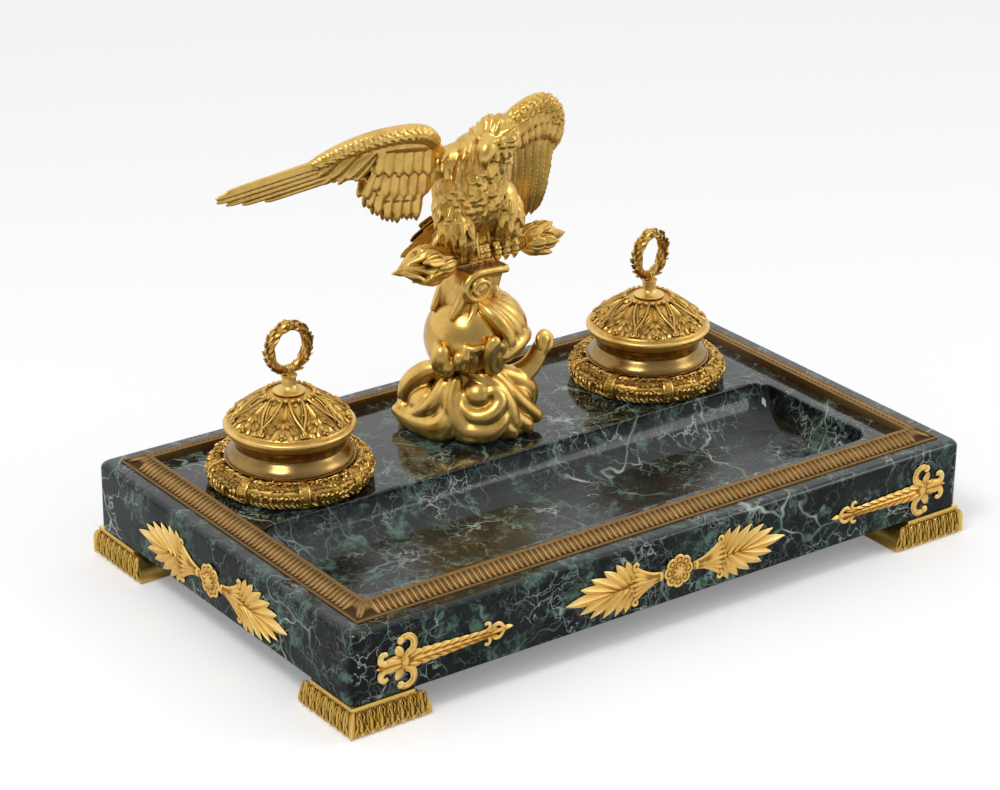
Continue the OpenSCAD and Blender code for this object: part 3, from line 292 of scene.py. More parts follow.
def copy_tree(name, way):
    tree = bpy.data.node_groups.new(name, "GeometryNodeTree")
    face = tree.interface
    face.new_socket(name="Geometry", in_out="INPUT", socket_type="NodeSocketGeometry")
    wanted = {"round": [("Count", "NodeSocketInt"), ("First turn", "NodeSocketFloat"), ("Centre", "NodeSocketVector")],
              "line": [("Count", "NodeSocketInt"), ("Start", "NodeSocketVector"), ("Step", "NodeSocketVector"),
                       ("Turn", "NodeSocketVector")],
              "points": []}[way]
    for label, kind in [("Item", "NodeSocketObject"), *wanted, ("Finish", "NodeSocketMaterial")]:
        face.new_socket(name=label, in_out="INPUT", socket_type=kind)
    face.new_socket(name="Geometry", in_out="OUTPUT", socket_type="NodeSocketGeometry")
    come = tree.nodes.new("NodeGroupInput").outputs
    item = add_node(tree, "GeometryNodeObjectInfo", {"Object": come["Item"], "As Instance": True}).outputs["Geometry"]
    if way == "round":
        spots = add_node(tree, "GeometryNodeMeshLine", {"Count": come["Count"], "Offset": (0, 0, 0)})
        part = calc(tree, "DIVIDE", add_node(tree, "GeometryNodeInputIndex").outputs[0], come["Count"])
        turn = calc(tree, "MULTIPLY_ADD", part, 2 * pi, come["First turn"])
        place = {"Points": spots.outputs[0], "Rotation": add_node(tree, "ShaderNodeCombineXYZ", {"Z": turn}).outputs[0]}
    elif way == "line":
        spots = add_node(tree, "GeometryNodeMeshLine",
                         {"Count": come["Count"], "Start Location": come["Start"], "Offset": come["Step"]})
        place = {"Points": spots.outputs[0], "Rotation": come["Turn"]}
    else:
        turn, size = (add_node(tree, "GeometryNodeInputNamedAttribute", {"Name": name}, data_type="FLOAT_VECTOR").outputs[0]
                      for name in ("turn", "size"))
        place = {"Points": come["Geometry"], "Rotation": turn, "Scale": size}
    copies = add_node(tree, "GeometryNodeInstanceOnPoints", {"Instance": item, **place})
    if way == "round":
        copies = add_node(tree, "GeometryNodeTransform", {"Geometry": copies.outputs[0], "Translation": come["Centre"]})
    both = tree.nodes.new("GeometryNodeJoinGeometry")
    tree.links.new(copies.outputs[0], both.inputs[0])
    if way != "points":
        tree.links.new(come["Geometry"], both.inputs[0])
    real = add_node(tree, "GeometryNodeRealizeInstances", {"Geometry": both.outputs[0]})
    done = add_node(tree, "GeometryNodeSetMaterial", {"Geometry": real.outputs[0], "Material": come["Finish"]})
    tree.links.new(done.outputs[0], tree.nodes.new("NodeGroupOutput").inputs[0])
    return tree


COPY_TREES = {way: copy_tree("Copies " + name, way) for way, name in
              [("round", "round an axis"), ("line", "along a line"), ("points", "on marked points")]}


def read_mesh(mesh):
    """The points, in millimetres, and the faces of a mesh."""
    co = np.zeros(len(mesh.vertices) * 3)
    mesh.vertices.foreach_get("co", co)
    return co.reshape(-1, 3) / MM, [tuple(p.vertices) for p in mesh.polygons]


def copies(way, item, finish, **values):
    """Runs one of the copy trees on a shell and gives the copies back as one shell."""
    pattern = bpy.data.objects.new("pattern", mesh_of("pattern", item))
    bpy.context.scene.collection.objects.link(pattern)
    marks = values.pop("marks", None)
    mesh = bpy.data.meshes.new("marks")
    if marks is not None:                  # every mark is (place, direction of +X, direction of +Z, size)
        mesh.from_pydata([(np.asarray(m[0]) * MM).tolist() for m in marks], [], [])
        turns, sizes = [], []
        for _, ahead, face, size in marks:
            turns += list(Matrix(np.stack(axes_of(ahead, face), 1).tolist()).to_euler())
            sizes += list(np.broadcast_to(size, 3))
        mesh.attributes.new("turn", "FLOAT_VECTOR", "POINT").data.foreach_set("vector", turns)
        mesh.attributes.new("size", "FLOAT_VECTOR", "POINT").data.foreach_set("vector", sizes)
    holder = bpy.data.objects.new("copies", mesh)
    bpy.context.scene.collection.objects.link(holder)
    modifier = holder.modifiers.new("copies", "NODES")
    modifier.node_group = COPY_TREES[way]
    values.update({"Item": pattern, "Finish": finish})
    for socket in modifier.node_group.interface.items_tree:
        if socket.item_type == "SOCKET" and socket.in_out == "INPUT" and socket.name in values:
            modifier[socket.identifier] = values[socket.name]
    seen = holder.evaluated_get(bpy.context.evaluated_depsgraph_get())
    made = bpy.data.meshes.new_from_object(seen)
    shell = read_mesh(made)
    for o in (holder, pattern):
        bpy.data.objects.remove(o)
    bpy.data.meshes.remove(made)
    return shell


print("copy trees:", sorted(COPY_TREES))

# %% [markdown]
# ## How much a point lies in a hollow
#
# Old gilding is bright where hands and cloths reach and brown where they don't. Here the brown is also painted
# shade, the shade that falls in the hollows, and the brightness of open places also painted light. From every point
# of a finished casting a few short rays go outwards; the share that hits the casting again says how hidden the
# point is. The share is kept on the mesh as an attribute named hollow, which the materials read, so it travels
# with the piece.

# %% Rays for the hollow attribute
RAY_FAN = [(sin(e) * cos(a), sin(e) * sin(a), cos(e))
           for e, count, first in ((0.45, 3, 0.3), (1.0, 5, 0.0)) for a in [first + 2 * pi * k / count for k in range(count)]]


def add_hollow(mesh, reach):
    count = len(mesh.vertices)
    share = np.full(count, 0.2)
    co = np.zeros(count * 3)
    mesh.vertices.foreach_get("co", co)
    co = co.reshape(-1, 3) / MM
    normal = np.zeros(count * 3)
    mesh.vertex_normals.foreach_get("vector", normal)
    normal = normal.reshape(-1, 3)
    tree = BVHTree.FromPolygons(co.tolist(), [tuple(p.vertices) for p in mesh.polygons])
    side = np.cross(normal, np.where(np.abs(normal[:, 2:]) < 0.8, [[0, 0, 1.0]], [[1.0, 0, 0]]))
    side /= np.maximum(np.linalg.norm(side, axis=1), 1e-9)[:, None]
    over = np.cross(normal, side)
    start = (co + normal * 0.06).tolist()
    share = np.zeros(count)
    for x, y, z in RAY_FAN:
        rays = (side * x + over * y + normal * z).tolist()
        hit = [tree.ray_cast(s, r, reach)[3] for s, r in zip(start, rays)]
        share += np.array([0.0 if h is None else 1.0 - 0.6 * h / reach for h in hit])
    share /= len(RAY_FAN)
    edges = np.zeros(len(mesh.edges) * 2, int)
    mesh.edges.foreach_get("vertices", edges)
    a, b = edges.reshape(-1, 2).T
    for _ in range(2):                 # neighbours share a little, so that no single point stands out
        total, near = share.copy(), np.ones(count)
        np.add.at(total, a, share[b])
        np.add.at(total, b, share[a])
        np.add.at(near, a, 1)
        np.add.at(near, b, 1)
        share = total / near
    mesh.attributes.new("hollow", "FLOAT", "POINT").data.foreach_set("value", share.astype(np.float32))


def finished(name, shell, node, finish, body="stand", sharp=50, reach=4.0):
    """A piece of the inkstand: its mesh and finish, the node that it stands for and the body that it rides on."""
    mesh = mesh_of(name, shell)
    mesh.materials.append(finish)
    mesh.shade_smooth()
    if sharp:
        mesh.set_sharp_from_angle(angle=radians(sharp))
    if finish.get("reads_hollow"):
        add_hollow(mesh, reach)
    piece = bpy.data.objects.new(name, mesh)
    bpy.context.scene.collection.objects.link(piece)
    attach(piece, body)
    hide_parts(node)
    print(f"{name}: {len(mesh.vertices)} points, {len(mesh.polygons)} faces")


# %% [markdown]
# ## Gilding
#
# Fire gilding on bronze is a thin gold skin: satin where it was left as cast, brighter where it is rubbed, brown
# in the hollows. Here the brown is partly dirt and partly painted shade, and the brighter open places partly
# painted light. One shader group mixes those three from the hollow attribute and two sizes of noise, and every
# gilt metal uses it with its own colours. The metal shader itself stays in each material.

# %% Shader group for aged gilding
def group_io(tree, inputs, outputs):
    for label, kind, value in inputs:
        socket = tree.interface.new_socket(name=label, in_out="INPUT", socket_type=kind)
        if value is not None:
            socket.default_value = value
    for label, kind in outputs:
        tree.interface.new_socket(name=label, in_out="OUTPUT", socket_type=kind)
    return tree.nodes.new("NodeGroupInput").outputs, tree.nodes.new("NodeGroupOutput").inputs


def gilding_group():
    tree = bpy.data.node_groups.new("Aged gilding with painted shade", "ShaderNodeTree")
    # Recess is the colour of dirt and of painted shade in the hollows; Rubbed is the colour of wear and of painted
    # light on open places
    come, go = group_io(tree, [
        ("Gold", "NodeSocketColor", (0.75, 0.46, 0.13, 1)), ("Recess", "NodeSocketColor", (0.12, 0.05, 0.012, 1)),
        ("Rubbed", "NodeSocketColor", (0.95, 0.68, 0.28, 1)), ("Depth", "NodeSocketFloat", 1.0),
        ("Mottle", "NodeSocketFloat", 0.3), ("Grain", "NodeSocketFloat", 1500.0),
        ("Satin", "NodeSocketFloat", 0.32), ("Lines", "NodeSocketFloat", 0.0)
    ], [("Color", "NodeSocketColor"), ("Roughness", "NodeSocketFloat"), ("Height", "NodeSocketFloat")])
    here = add_node(tree, "ShaderNodeTexCoord").outputs["Object"]
    hollow = add_node(tree, "ShaderNodeAttribute", attribute_name="hollow", attribute_type="GEOMETRY").outputs["Fac"]
    blotch = noise_at(tree, here, 95.0, 5.0, 0.62)["Fac"]
    fine = noise_at(tree, here, come["Grain"], 3.0, 0.6)["Fac"]
    # the hollow share, widened where the blotches are dark
    spread = calc(tree, "MULTIPLY_ADD", calc(tree, "ADD", blotch, -0.5), come["Mottle"], hollow)
    # painted shade with dirt: hidden points go towards Recess; open points go towards Rubbed, as wear and as painted
    # light
    dark = eased(tree, spread, 0.16, 0.62, 0.0, come["Depth"])
    worn_and_lit = mixed(tree, eased(tree, spread, 0.12, -0.04), come["Gold"], come["Rubbed"])
    aged_and_shaded = mixed(tree, dark, worn_and_lit, come["Recess"])
    speck = add_node(tree, "ShaderNodeMapRange",
                     {"Value": fine, "From Min": 0.3, "From Max": 0.7, "To Min": 0.86, "To Max": 1.08}).outputs[0]
    tree.links.new(add_node(tree, "ShaderNodeVectorMath", {0: aged_and_shaded, "Scale": speck}, operation="SCALE").outputs[0], go["Color"])
    rough = calc(tree, "MULTIPLY_ADD", dark, 0.28, come["Satin"])
    tree.links.new(calc(tree, "MULTIPLY_ADD", blotch, 0.16, rough), go["Roughness"])
    # chased lines: fine strokes left by the punch and the scratch brush
    stretched = add_node(tree, "ShaderNodeMapping", {"Vector": here, "Scale": (900.0, 900.0, 160.0)}).outputs[0]
    stroke = noise_at(tree, stretched, 1.0, 2.0, 0.5)["Fac"]
    high = calc(tree, "MULTIPLY_ADD", stroke, come["Lines"], fine)
    tree.links.new(calc(tree, "MULTIPLY_ADD", blotch, 0.5, high), go["Height"])
    return tree


GILDING = gilding_group()


PUNCH_GRAIN, BUMP_HEIGHT = 1500.0, 0.00006


def gilt(name, gold, recess, rubbed, satin=0.32, depth=0.95, mottle=0.3, lines=0.4, bump=0.25):
    material = bpy.data.materials.new(name)
    material.use_nodes = True
    material["reads_hollow"] = True
    tree = material.node_tree
    shader = tree.nodes["Principled BSDF"]
    shader.inputs["Metallic"].default_value = 1.0
    # the group paints shade into the hollows and light onto open places, besides dirt and wear
    age_and_shade = tree.nodes.new("ShaderNodeGroup")
    age_and_shade.node_tree = GILDING
    for key, value in {"Gold": (*gold, 1), "Recess": (*recess, 1), "Rubbed": (*rubbed, 1), "Depth": depth, "Mottle": mottle,
                       "Grain": PUNCH_GRAIN, "Satin": satin, "Lines": lines}.items():
        age_and_shade.inputs[key].default_value = value
    tree.links.new(age_and_shade.outputs["Color"], shader.inputs["Base Color"])
    tree.links.new(age_and_shade.outputs["Roughness"], shader.inputs["Roughness"])
    relief = add_node(tree, "ShaderNodeBump", {"Height": age_and_shade.outputs["Height"], "Strength": bump, "Distance": BUMP_HEIGHT})
    tree.links.new(relief.outputs[0], shader.inputs["Normal"])
    return material


# each finish: gold, then recess (dirt and painted shade), then rubbed (wear and painted light)
STATUE_GILT = gilt("Satin gilt bronze", (0.62, 0.375, 0.085), (0.095, 0.043, 0.012), (0.82, 0.54, 0.155),
                   satin=0.25, mottle=0.5)
GLOBE_GILT = gilt("Polished gilding", (0.62, 0.38, 0.09), (0.14, 0.065, 0.02), (0.76, 0.48, 0.13),
                  satin=0.15, mottle=0.35, lines=0.0, bump=0.06)
WELL_GILT = gilt("Chased gilt bronze", (0.68, 0.42, 0.105), (0.13, 0.065, 0.018), (0.88, 0.60, 0.20),
                 satin=0.28, depth=0.85)
FOOT_GILT = gilt("Bright chased gilding", (0.82, 0.53, 0.12), (0.13, 0.068, 0.018), (0.98, 0.72, 0.26),
                 satin=0.26, mottle=0.25)
MOUNT_GILT = gilt("Matte bright gilding", (0.90, 0.58, 0.16), (0.42, 0.21, 0.04), (1.0, 0.74, 0.30),
                  satin=0.42, mottle=0.2, lines=0.2)
RAIL_GILT = gilt("Browned satin gilding", (0.28, 0.165, 0.060), (0.075, 0.042, 0.018), (0.43, 0.275, 0.105),
                 satin=0.36, mottle=0.35)
# the drum's gold is far darker than the lid's: painted shade, for its dark look under the lid's rim
DRUM_GILT = gilt("Burnished gilding in painted shade", (0.27, 0.165, 0.052), (0.10, 0.055, 0.02), (0.37, 0.235, 0.08),
                 satin=0.15, mottle=0.35, lines=0.1, bump=0.08)
SCREW_BRASS = gilt("Turned brass", (0.50, 0.36, 0.16), (0.12, 0.08, 0.03), (0.70, 0.52, 0.25),
                   satin=0.3, mottle=0.2)
print("gilt finishes made")

# %% [markdown]
# ## Green marble
#
# Serpentine marble is nearly black, broken into patches, with leek-green clouds and a net of pale calcite veins.
# The veins are the borders of Voronoi cells: coordinates bent by noise keep them from looking like a honeycomb,
# and a second noise lets them fade in and out. Four nets of different size run from long veins to hairs.

# %% Marble
def marble():
    material = bpy.data.materials.new("Green serpentine marble")
    material.use_nodes = True
    tree = material.node_tree
    shader = tree.nodes["Principled BSDF"]
    here = add_node(tree, "ShaderNodeTexCoord").outputs["Object"]

    def noise(scale, detail=4.0, rough=0.55, place=here, offset=0.0):
        if offset:
            place = vector(tree, "ADD", place, (offset, offset * 0.7, -offset))[0]
        return noise_at(tree, place, scale, detail, rough)

    def bent(amount, scale):
        """The coordinates, pushed about by noise."""
        centred = vector(tree, "SUBTRACT", noise(scale, 3.0)["Color"], (0.5, 0.5, 0.5))[0]
        small = add_node(tree, "ShaderNodeVectorMath", {0: centred, "Scale": amount}, operation="SCALE").outputs[0]
        return vector(tree, "ADD", here, small)[0]

    wavy, ragged = bent(0.055, 22.0), bent(0.022, 80.0)
    patches = eased(tree, noise(38.0, 6.0)["Fac"], 0.42, 0.68)
    ground = mixed(tree, patches, (0.004, 0.005, 0.006), (0.013, 0.020, 0.018))
    cloud = eased(tree, noise(46.0, 8.0, 0.70, wavy)["Fac"], 0.53, 0.62)
    cloud = calc(tree, "MULTIPLY", cloud, eased(tree, noise(150.0, 5.0, 0.65, ragged, 1.3)["Fac"], 0.38, 0.60, 0.1, 1.0))
    green = mixed(tree, cloud, ground, (0.080, 0.150, 0.112))
    web = None
    # four nets, from long veins to hairs: cells per metre, width, strength, then the noise that lets them show
    for scale, width, strength, field, seed, low, high, warp in (
            (15.0, 0.020, 1.0, 12.0, 3.1, 0.44, 0.58, wavy), (42.0, 0.030, 0.9, 26.0, 5.7, 0.47, 0.62, ragged),
            (85.0, 0.045, 0.7, 30.0, 8.3, 0.46, 0.62, ragged), (170.0, 0.065, 0.4, 40.0, 9.9, 0.48, 0.64, ragged)):
        edge = add_node(tree, "ShaderNodeTexVoronoi", {"Vector": warp, "Scale": scale},
                        feature="DISTANCE_TO_EDGE").outputs["Distance"]
        shown = eased(tree, noise(field, 3.0, 0.55, here, seed)["Fac"], low, high)
        net = calc(tree, "MULTIPLY", calc(tree, "MULTIPLY", eased(tree, edge, 0.0, width, 1.0, 0.0), shown), strength)
        web = net if web is None else calc(tree, "MAXIMUM", web, net)
    tint = eased(tree, noise(60.0, 3.0, 0.5, here, 2.2)["Fac"], 0.42, 0.66)
    pale = mixed(tree, tint, (0.15, 0.245, 0.195), (0.50, 0.58, 0.52))
    tree.links.new(mixed(tree, calc(tree, "MULTIPLY", web, 0.85), green, pale), shader.inputs["Base Color"])
    # the tray's floor and the upright sides are honed rather than polished
    height = add_node(tree, "ShaderNodeSeparateXYZ", {0: here}).outputs[2]
    tray = eased(tree, height, (SLAB_TOP - 12) * MM, (SLAB_TOP - 18) * MM, 0.0, 0.16)
    slope = add_node(tree, "ShaderNodeNewGeometry").outputs["Normal"]
    upward = add_node(tree, "ShaderNodeSeparateXYZ", {0: slope}).outputs[2]
    tree.links.new(eased(tree, upward, 0.2, 0.9, 0.13, 0.5), shader.inputs["Specular IOR Level"])
    rough = eased(tree, noise(300.0, 3.0)["Fac"], 0.3, 0.7, 0.06, 0.13)
    floor = calc(tree, "MULTIPLY", tray, eased(tree, upward, 0.6, 0.95))
    tree.links.new(calc(tree, "ADD", rough, floor), shader.inputs["Roughness"])
    shader.inputs["IOR"].default_value = 1.5
    return material


MARBLE = marble()
print("marble made:", len(MARBLE.node_tree.nodes), "nodes")

# %% [markdown]
# ## The marble slab
#
# The slab is one block: a soft round over its top edge, a small chamfer below and the pen tray sunk into the
# front. All of it can be one skin over round-cornered rectangles, from the underside up the sides, over the edge,
# and down the tray's walls to its floor. The tray's back wall is the long slope that pens roll down.

# %% Slab with its pen tray
TRAY_HALF, TRAY_FRONT, TRAY_BACK, TRAY_DEEP = 173.5, -92.0, 3.0, 20.0
ARRIS = 1.2                                # how far the tray's upper edge is broken


def corner_ring(x0, x1, y0, y1, r, z):
    """A rectangle with round corners at height z."""
    ring = []
    for cx, cy, first in ((x1 - r, y0 + r, -90), (x1 - r, y1 - r, 0), (x0 + r, y1 - r, 90), (x0 + r, y0 + r, 180)):
        for a in range(first, first + 91, 10):
            a = radians(a)
            ring.append((cx + r * cos(a), cy + r * sin(a), z))
    return ring


def slab_shell():
    hw, hd = SLAB_W / 2, SLAB_D / 2
    edge, chamfer, corner = 3.5, 0.8, 5.0
    rings = [corner_ring(-hw + 30, hw - 30, -hd + 30, hd - 30, corner, FOOT_H)]
    rings += [corner_ring(-hw + chamfer, hw - chamfer, -hd + chamfer, hd - chamfer, corner, FOOT_H)]
    for z in (FOOT_H + chamfer, FOOT_H + 6, SLAB_TOP - edge - 6, SLAB_TOP - edge):
        rings.append(corner_ring(-hw, hw, -hd, hd, corner, z))
    for k in range(1, 8):
        a = radians(90 * k / 7)
        inset = edge * (1 - cos(a))
        rings.append(corner_ring(-hw + inset, hw - inset, -hd + inset, hd - inset, corner, SLAB_TOP - edge + edge * sin(a)))
    x0, x1, y0, y1 = SET_X - TRAY_HALF, SET_X + TRAY_HALF, TRAY_FRONT, TRAY_BACK
    rings.append(corner_ring(x0 - 4, x1 + 4, y0 - 4, y1 + 4, 13, SLAB_TOP))
    for k in range(0, 6):                  # the arris of the tray, softly broken
        a = radians(90 * k / 5)
        inset = ARRIS * sin(a) - ARRIS
        rings.append(corner_ring(x0 + inset, x1 - inset, y0 + inset, y1 - inset, 11 - inset, SLAB_TOP - ARRIS * (1 - cos(a))))
    for k in range(1, 15):
        t = k / 14
        a = radians(90 * t)
        run = 0.45 * t + 0.55 * (1 - cos(a))
        drop = 0.42 * t + 0.58 * sin(a)
        end, back = 10 * run, 20 * run
        rings.append(corner_ring(x0 + end, x1 - end, y0 + end, y1 - back, 11 + 2 * run,
                SLAB_TOP - ARRIS - (TRAY_DEEP - ARRIS) * drop))
    rings.append(corner_ring(x0 + 30, x1 - 30, y0 + 30, y1 - 36, 6, SLAB_TOP - TRAY_DEEP))
    return skin(rings)


finished("marble_slab_polished", slab_shell(), "marble_slab", MARBLE, sharp=30)

# %% [markdown]
# ## The border rails
#
# Four cast lengths, mitred at the corners, frame the top: a bright lip outside, a sloped face of upright leaves
# and a plain wall inside. The moulding is a swept profile; the leaves are one small leaf copied along a line.

# %% Rails and their leaves
RAIL_W, RAIL_INSET, LEAF_PITCH = 13.0, 9.5, 3.4


def rail_height(u):
    """Height of the rail's face at a distance u from its outer edge."""
    t = np.clip((u - 1.0) / (RAIL_W - 3.0), 0, 1)
    return 1.0 + 3.5 * (1 - np.cos(np.pi * t)) / 2


def rail_shell(length):
    line = [(0, 0), (0, 0.8), (0.25, 1.15), (0.8, 1.2), (1.1, 0.95)]
    line += [(u, float(rail_height(u)) - 0.25) for u in np.linspace(1.5, RAIL_W - 2.2, 12)]
    line += [(RAIL_W - 2.0, 4.5), (RAIL_W - 1.7, 4.85), (RAIL_W - 1.0, 5.0), (RAIL_W - 0.3, 4.85), (RAIL_W, 4.4), (RAIL_W, 0)]
    rings = [[(s * (length / 2 - u), u, v) for u, v in line] for s in (-1, 1)]
    return skin(rings)


def rail_leaf(pitch):
    """One upright leaf of the border: a ribbed tongue with a fold on either side."""
    reach = RAIL_W - 4.0
    main = leaf(reach, pitch * 0.8, 0.75, "tongue", steps=8, rib=0.5, under=0.2)
    folds = [set_on(leaf(reach * 0.92, pitch * 0.34, 0.55, "laurel", steps=6, rib=0.3, under=0.2), (0, s * pitch * 0.42, 0),
                    (1, 0, 0), (0, 0, 1)) for s in (-1, 1)]
    v, f = join([main, *folds])
    u = RAIL_W - 2.6 - v[:, 0]             # root under the bead, tip towards the lip
    return np.stack([v[:, 1], u, v[:, 2] + rail_height(u) - 0.15], 1), f


def rail(name, length, turn, at):
    count = int((length - 2 * RAIL_W) / LEAF_PITCH)
    first = -(count - 1) / 2 * LEAF_PITCH
    leaves = copies("line", outward(*rail_leaf(LEAF_PITCH)), RAIL_GILT, Count=count,
                    Start=(first * MM, 0, 0), Step=(LEAF_PITCH * MM, 0, 0), Turn=(0, 0, 0))
    # a larger leaf lies over each mitre, half on this rail
    tip, out = leaf(12, 3.0, 0.7, "tongue", steps=7, under=0.2), length / 2 - RAIL_W + 1.6
    ends = [outward(*set_on(tip, (s * out, RAIL_W - 2.6, 4.1), (s * 0.72, -0.68, -0.27), (s * 0.1, -0.1, 1))) for s in (-1, 1)]
    finished(name + "_chased", spun(join([rail_shell(length), leaves, *ends]), turn, at), name, RAIL_GILT, reach=2.0)


half_w, half_d = SLAB_W / 2 - RAIL_INSET, SLAB_D / 2 - RAIL_INSET
rail("rail_front", 2 * half_w, 0, (0, -half_d, SLAB_TOP))
rail("rail_back", 2 * half_w, 180, (0, half_d, SLAB_TOP))
rail("rail_left", 2 * half_d, -90, (-half_w, 0, SLAB_TOP))
rail("rail_right", 2 * half_d, 90, (half_w, 0, SLAB_TOP))

# %% [markdown]
# ## The four feet
#
# Each foot is a square casting: a smooth ledge that carries the slab, then a swelling face of acanthus leaves
# whose tips curl at the desk. The block is a skin over square rings; the leaves are drawn flat and wrapped onto
# the swelling, so that they bend with it. All four are the same casting, turned to its corner.

# %% Acanthus feet
FOOT_W, FOOT_SPREAD, LEDGE = 50.0, 3.0, 0.6
FACE_H = FOOT_H - 2.5


def foot_out(z):
    """How far the leafy face stands out from the slab's edge at height z."""
    t = np.clip(1 - z / FACE_H, 0, 1)
    return LEDGE - 0.5 + (FOOT_SPREAD - LEDGE - 0.2) * np.sqrt(np.clip(1 - (1 - t) ** 2, 0, 1))


def square_ring(out, back, z):
    """A square round the foot's middle; out is measured from the slab's edge, back from the inner faces."""
    lo, hi = FOOT_SPREAD - FOOT_W + back, out
    return [(hi, lo, z), (hi, hi, z), (lo, hi, z), (lo, lo, z)]


def on_foot_face(shell, middle):
    """Wraps a leaf drawn with +X downwards onto the outer face whose normal is +X."""
    v, f = shell
    z = FACE_H - v[:, 0]
    return np.stack([foot_out(np.clip(z, 0, FACE_H)) + v[:, 2], middle + v[:, 1], z], 1), f


def acanthus_tip(pitch):
    """One leaf of the foot: a hooded middle, two curling side lobes, an eye between leaves and a bead at the tip."""
    parts = [leaf(FACE_H - 0.6, pitch * 0.5, 1.2, "tongue", steps=9, rib=0.5, cup=0.15, under=0.2)]
    for s in (-1, 1):
        parts.append(set_on(leaf(FACE_H * 0.92, pitch * 0.34, 1.0, "laurel", steps=8, sway=-s * 0.012, rib=0.45, under=0.2),
                            (0.2, s * pitch * 0.33, 0), (1, s * 0.05, 0), (0, 0, 1)))
        parts.append(set_on(leaf(FACE_H * 0.5, pitch * 0.26, 1.0, "petal", steps=6, rib=0.4, under=0.2),
                            (FACE_H * 0.4, s * pitch * 0.24, 0.3), (1, s * 0.45, 0), (0, 0, 1)))
        parts.append(tube([(1.0, s * pitch * 0.16, 0.5, 0.3), (2.6, s * pitch * 0.27, 0.7, 0.4),
                           (4.4, s * pitch * 0.16, 0.8, 0.4), (6.0, s * pitch * 0.22, 0.8, 0.3)], 6, steps=9))
    parts.append(ball((FACE_H - 1.9, 0, 1.0), 1.0, 5, 8))
    return join(parts)


def foot_shell():
    rings = [square_ring(LEDGE - 0.35, 9.8, FOOT_H), square_ring(LEDGE, 9.5, FOOT_H - 0.1)]
    rings += [square_ring(LEDGE, 9.5, FOOT_H - 0.4), square_ring(LEDGE, 9.5, FOOT_H - 1.9),
              square_ring(LEDGE - 0.6, 9.9, FOOT_H - 2.3)]
    for z in np.linspace(FACE_H - 0.3, 1.4, 9):
        rings.append(square_ring(float(foot_out(z)) - 0.3, 9.5 * (1 - sqrt(1 - (z / FACE_H) ** 2)), z))
    rings += [square_ring(FOOT_SPREAD - 1.2, 0.4, 0.5), square_ring(FOOT_SPREAD - 1.6, 0.8, 0.0)]
    return skin(rings)


def foot_casting():
    count = 7
    pitch = (FOOT_W - 7) / count
    leaf_shell = acanthus_tip(pitch)
    parts = [foot_shell()]
    for k in range(count):
        middle = FOOT_SPREAD - FOOT_W + 3.0 + (k + 0.5) * pitch
        one = on_foot_face(leaf_shell, middle)
        parts += [one, (one[0][:, [1, 0, 2]], [tuple(reversed(x)) for x in one[1]])]
    # the leaf over the outer corner is folded along its rib
    corner = leaf(FACE_H, pitch * 0.95, 1.3, "tongue", steps=9, rib=0.7, under=0.2)
    v = corner[0]
    z = FACE_H - v[:, 0]
    out = foot_out(np.clip(z, 0, FACE_H)) + 0.2
    fold = np.abs(v[:, 1])
    x = out + v[:, 2] * 0.7 - np.where(v[:, 1] > 0, fold, 0)
    y = out + v[:, 2] * 0.7 - np.where(v[:, 1] < 0, fold, 0)
    parts.append(outward(np.stack([x, y, z], 1), corner[1]))
    v, f = join(parts)
    v[:, 0] = np.minimum(v[:, 0], FOOT_SPREAD)
    v[:, 1] = np.minimum(v[:, 1], FOOT_SPREAD)
    v[:, 2] = np.maximum(v[:, 2], 0.0)
    return v, f


FOOT = foot_casting()
for end, sx in (("left", -1), ("right", 1)):
    for row, sy in (("front", -1), ("back", 1)):
        v = FOOT[0] * (sx, sy, 1) + (sx * SLAB_W / 2, sy * SLAB_D / 2, 0)
        faces = FOOT[1] if sx * sy > 0 else [tuple(reversed(x)) for x in FOOT[1]]
        node = f"foot_{row}_{end}"
        finished(node + "_acanthus", (v, faces), node, FOOT_GILT, sharp=45, reach=2.4)

# %% [markdown]
# ## The inkwells: wreath ring, drum and cup
#
# A half-round wreath of small leaves and berries, crossed by ribbons, lies on the marble. The drum in it is
# turned on a lathe and burnished, so it is a plain profile. Leaves follow the ring's own curve: each mark below
# holds a place on the half-round, the way the leaf points and the way it faces.

# %% Wreath rings and drums
RING_R, RING_TUBE = 45.5, 6.6
RING_MID = RING_R - RING_TUBE


def ring_spot(turn, rise, lift=0.0):
    """A place on the half-round wreath and the direction that it faces; rise is 0 outside, 90 on top."""
    a, b = radians(turn), radians(rise)
    face = np.array([cos(a) * cos(b), sin(a) * cos(b), sin(b)])
    return np.array([RING_MID * cos(a), RING_MID * sin(a), RING_TUBE]) + face * (RING_TUBE + lift), face


def wreath_marks():
    leaves, berries = [], []
    rows = [(-22, 1), (0, -1), (22, 1), (44, -1), (66, 1), (88, -1), (110, 1), (132, -1)]
    count = 100
    dice = np.random.default_rng(7)
    for k in range(count):
        for row, (rise, way) in enumerate(rows):
            turn = 360 * (k + 0.5 * (row % 2)) / count
            if abs(turn % 45 - 22.5) < 4.4:
                continue                   # the ribbons cross here
            at, face = ring_spot(turn, rise + dice.uniform(-4, 4), -0.5)
            along = np.array([-sin(radians(turn)), cos(radians(turn)), 0])
            across = np.cross(along, face)
            tilt = way * 0.8 + dice.uniform(-0.5, 0.5)
            leaves.append((at, along * cos(tilt) + across * sin(tilt) + face * 0.16, face, dice.uniform(0.8, 1.15)))
            if (k + row) % 2 == 0:
                spot, face = ring_spot(turn + 1.4, rise + 10, -0.1)
                berries.append((spot, along, face, dice.uniform(0.6, 1.05)))
    return leaves, berries


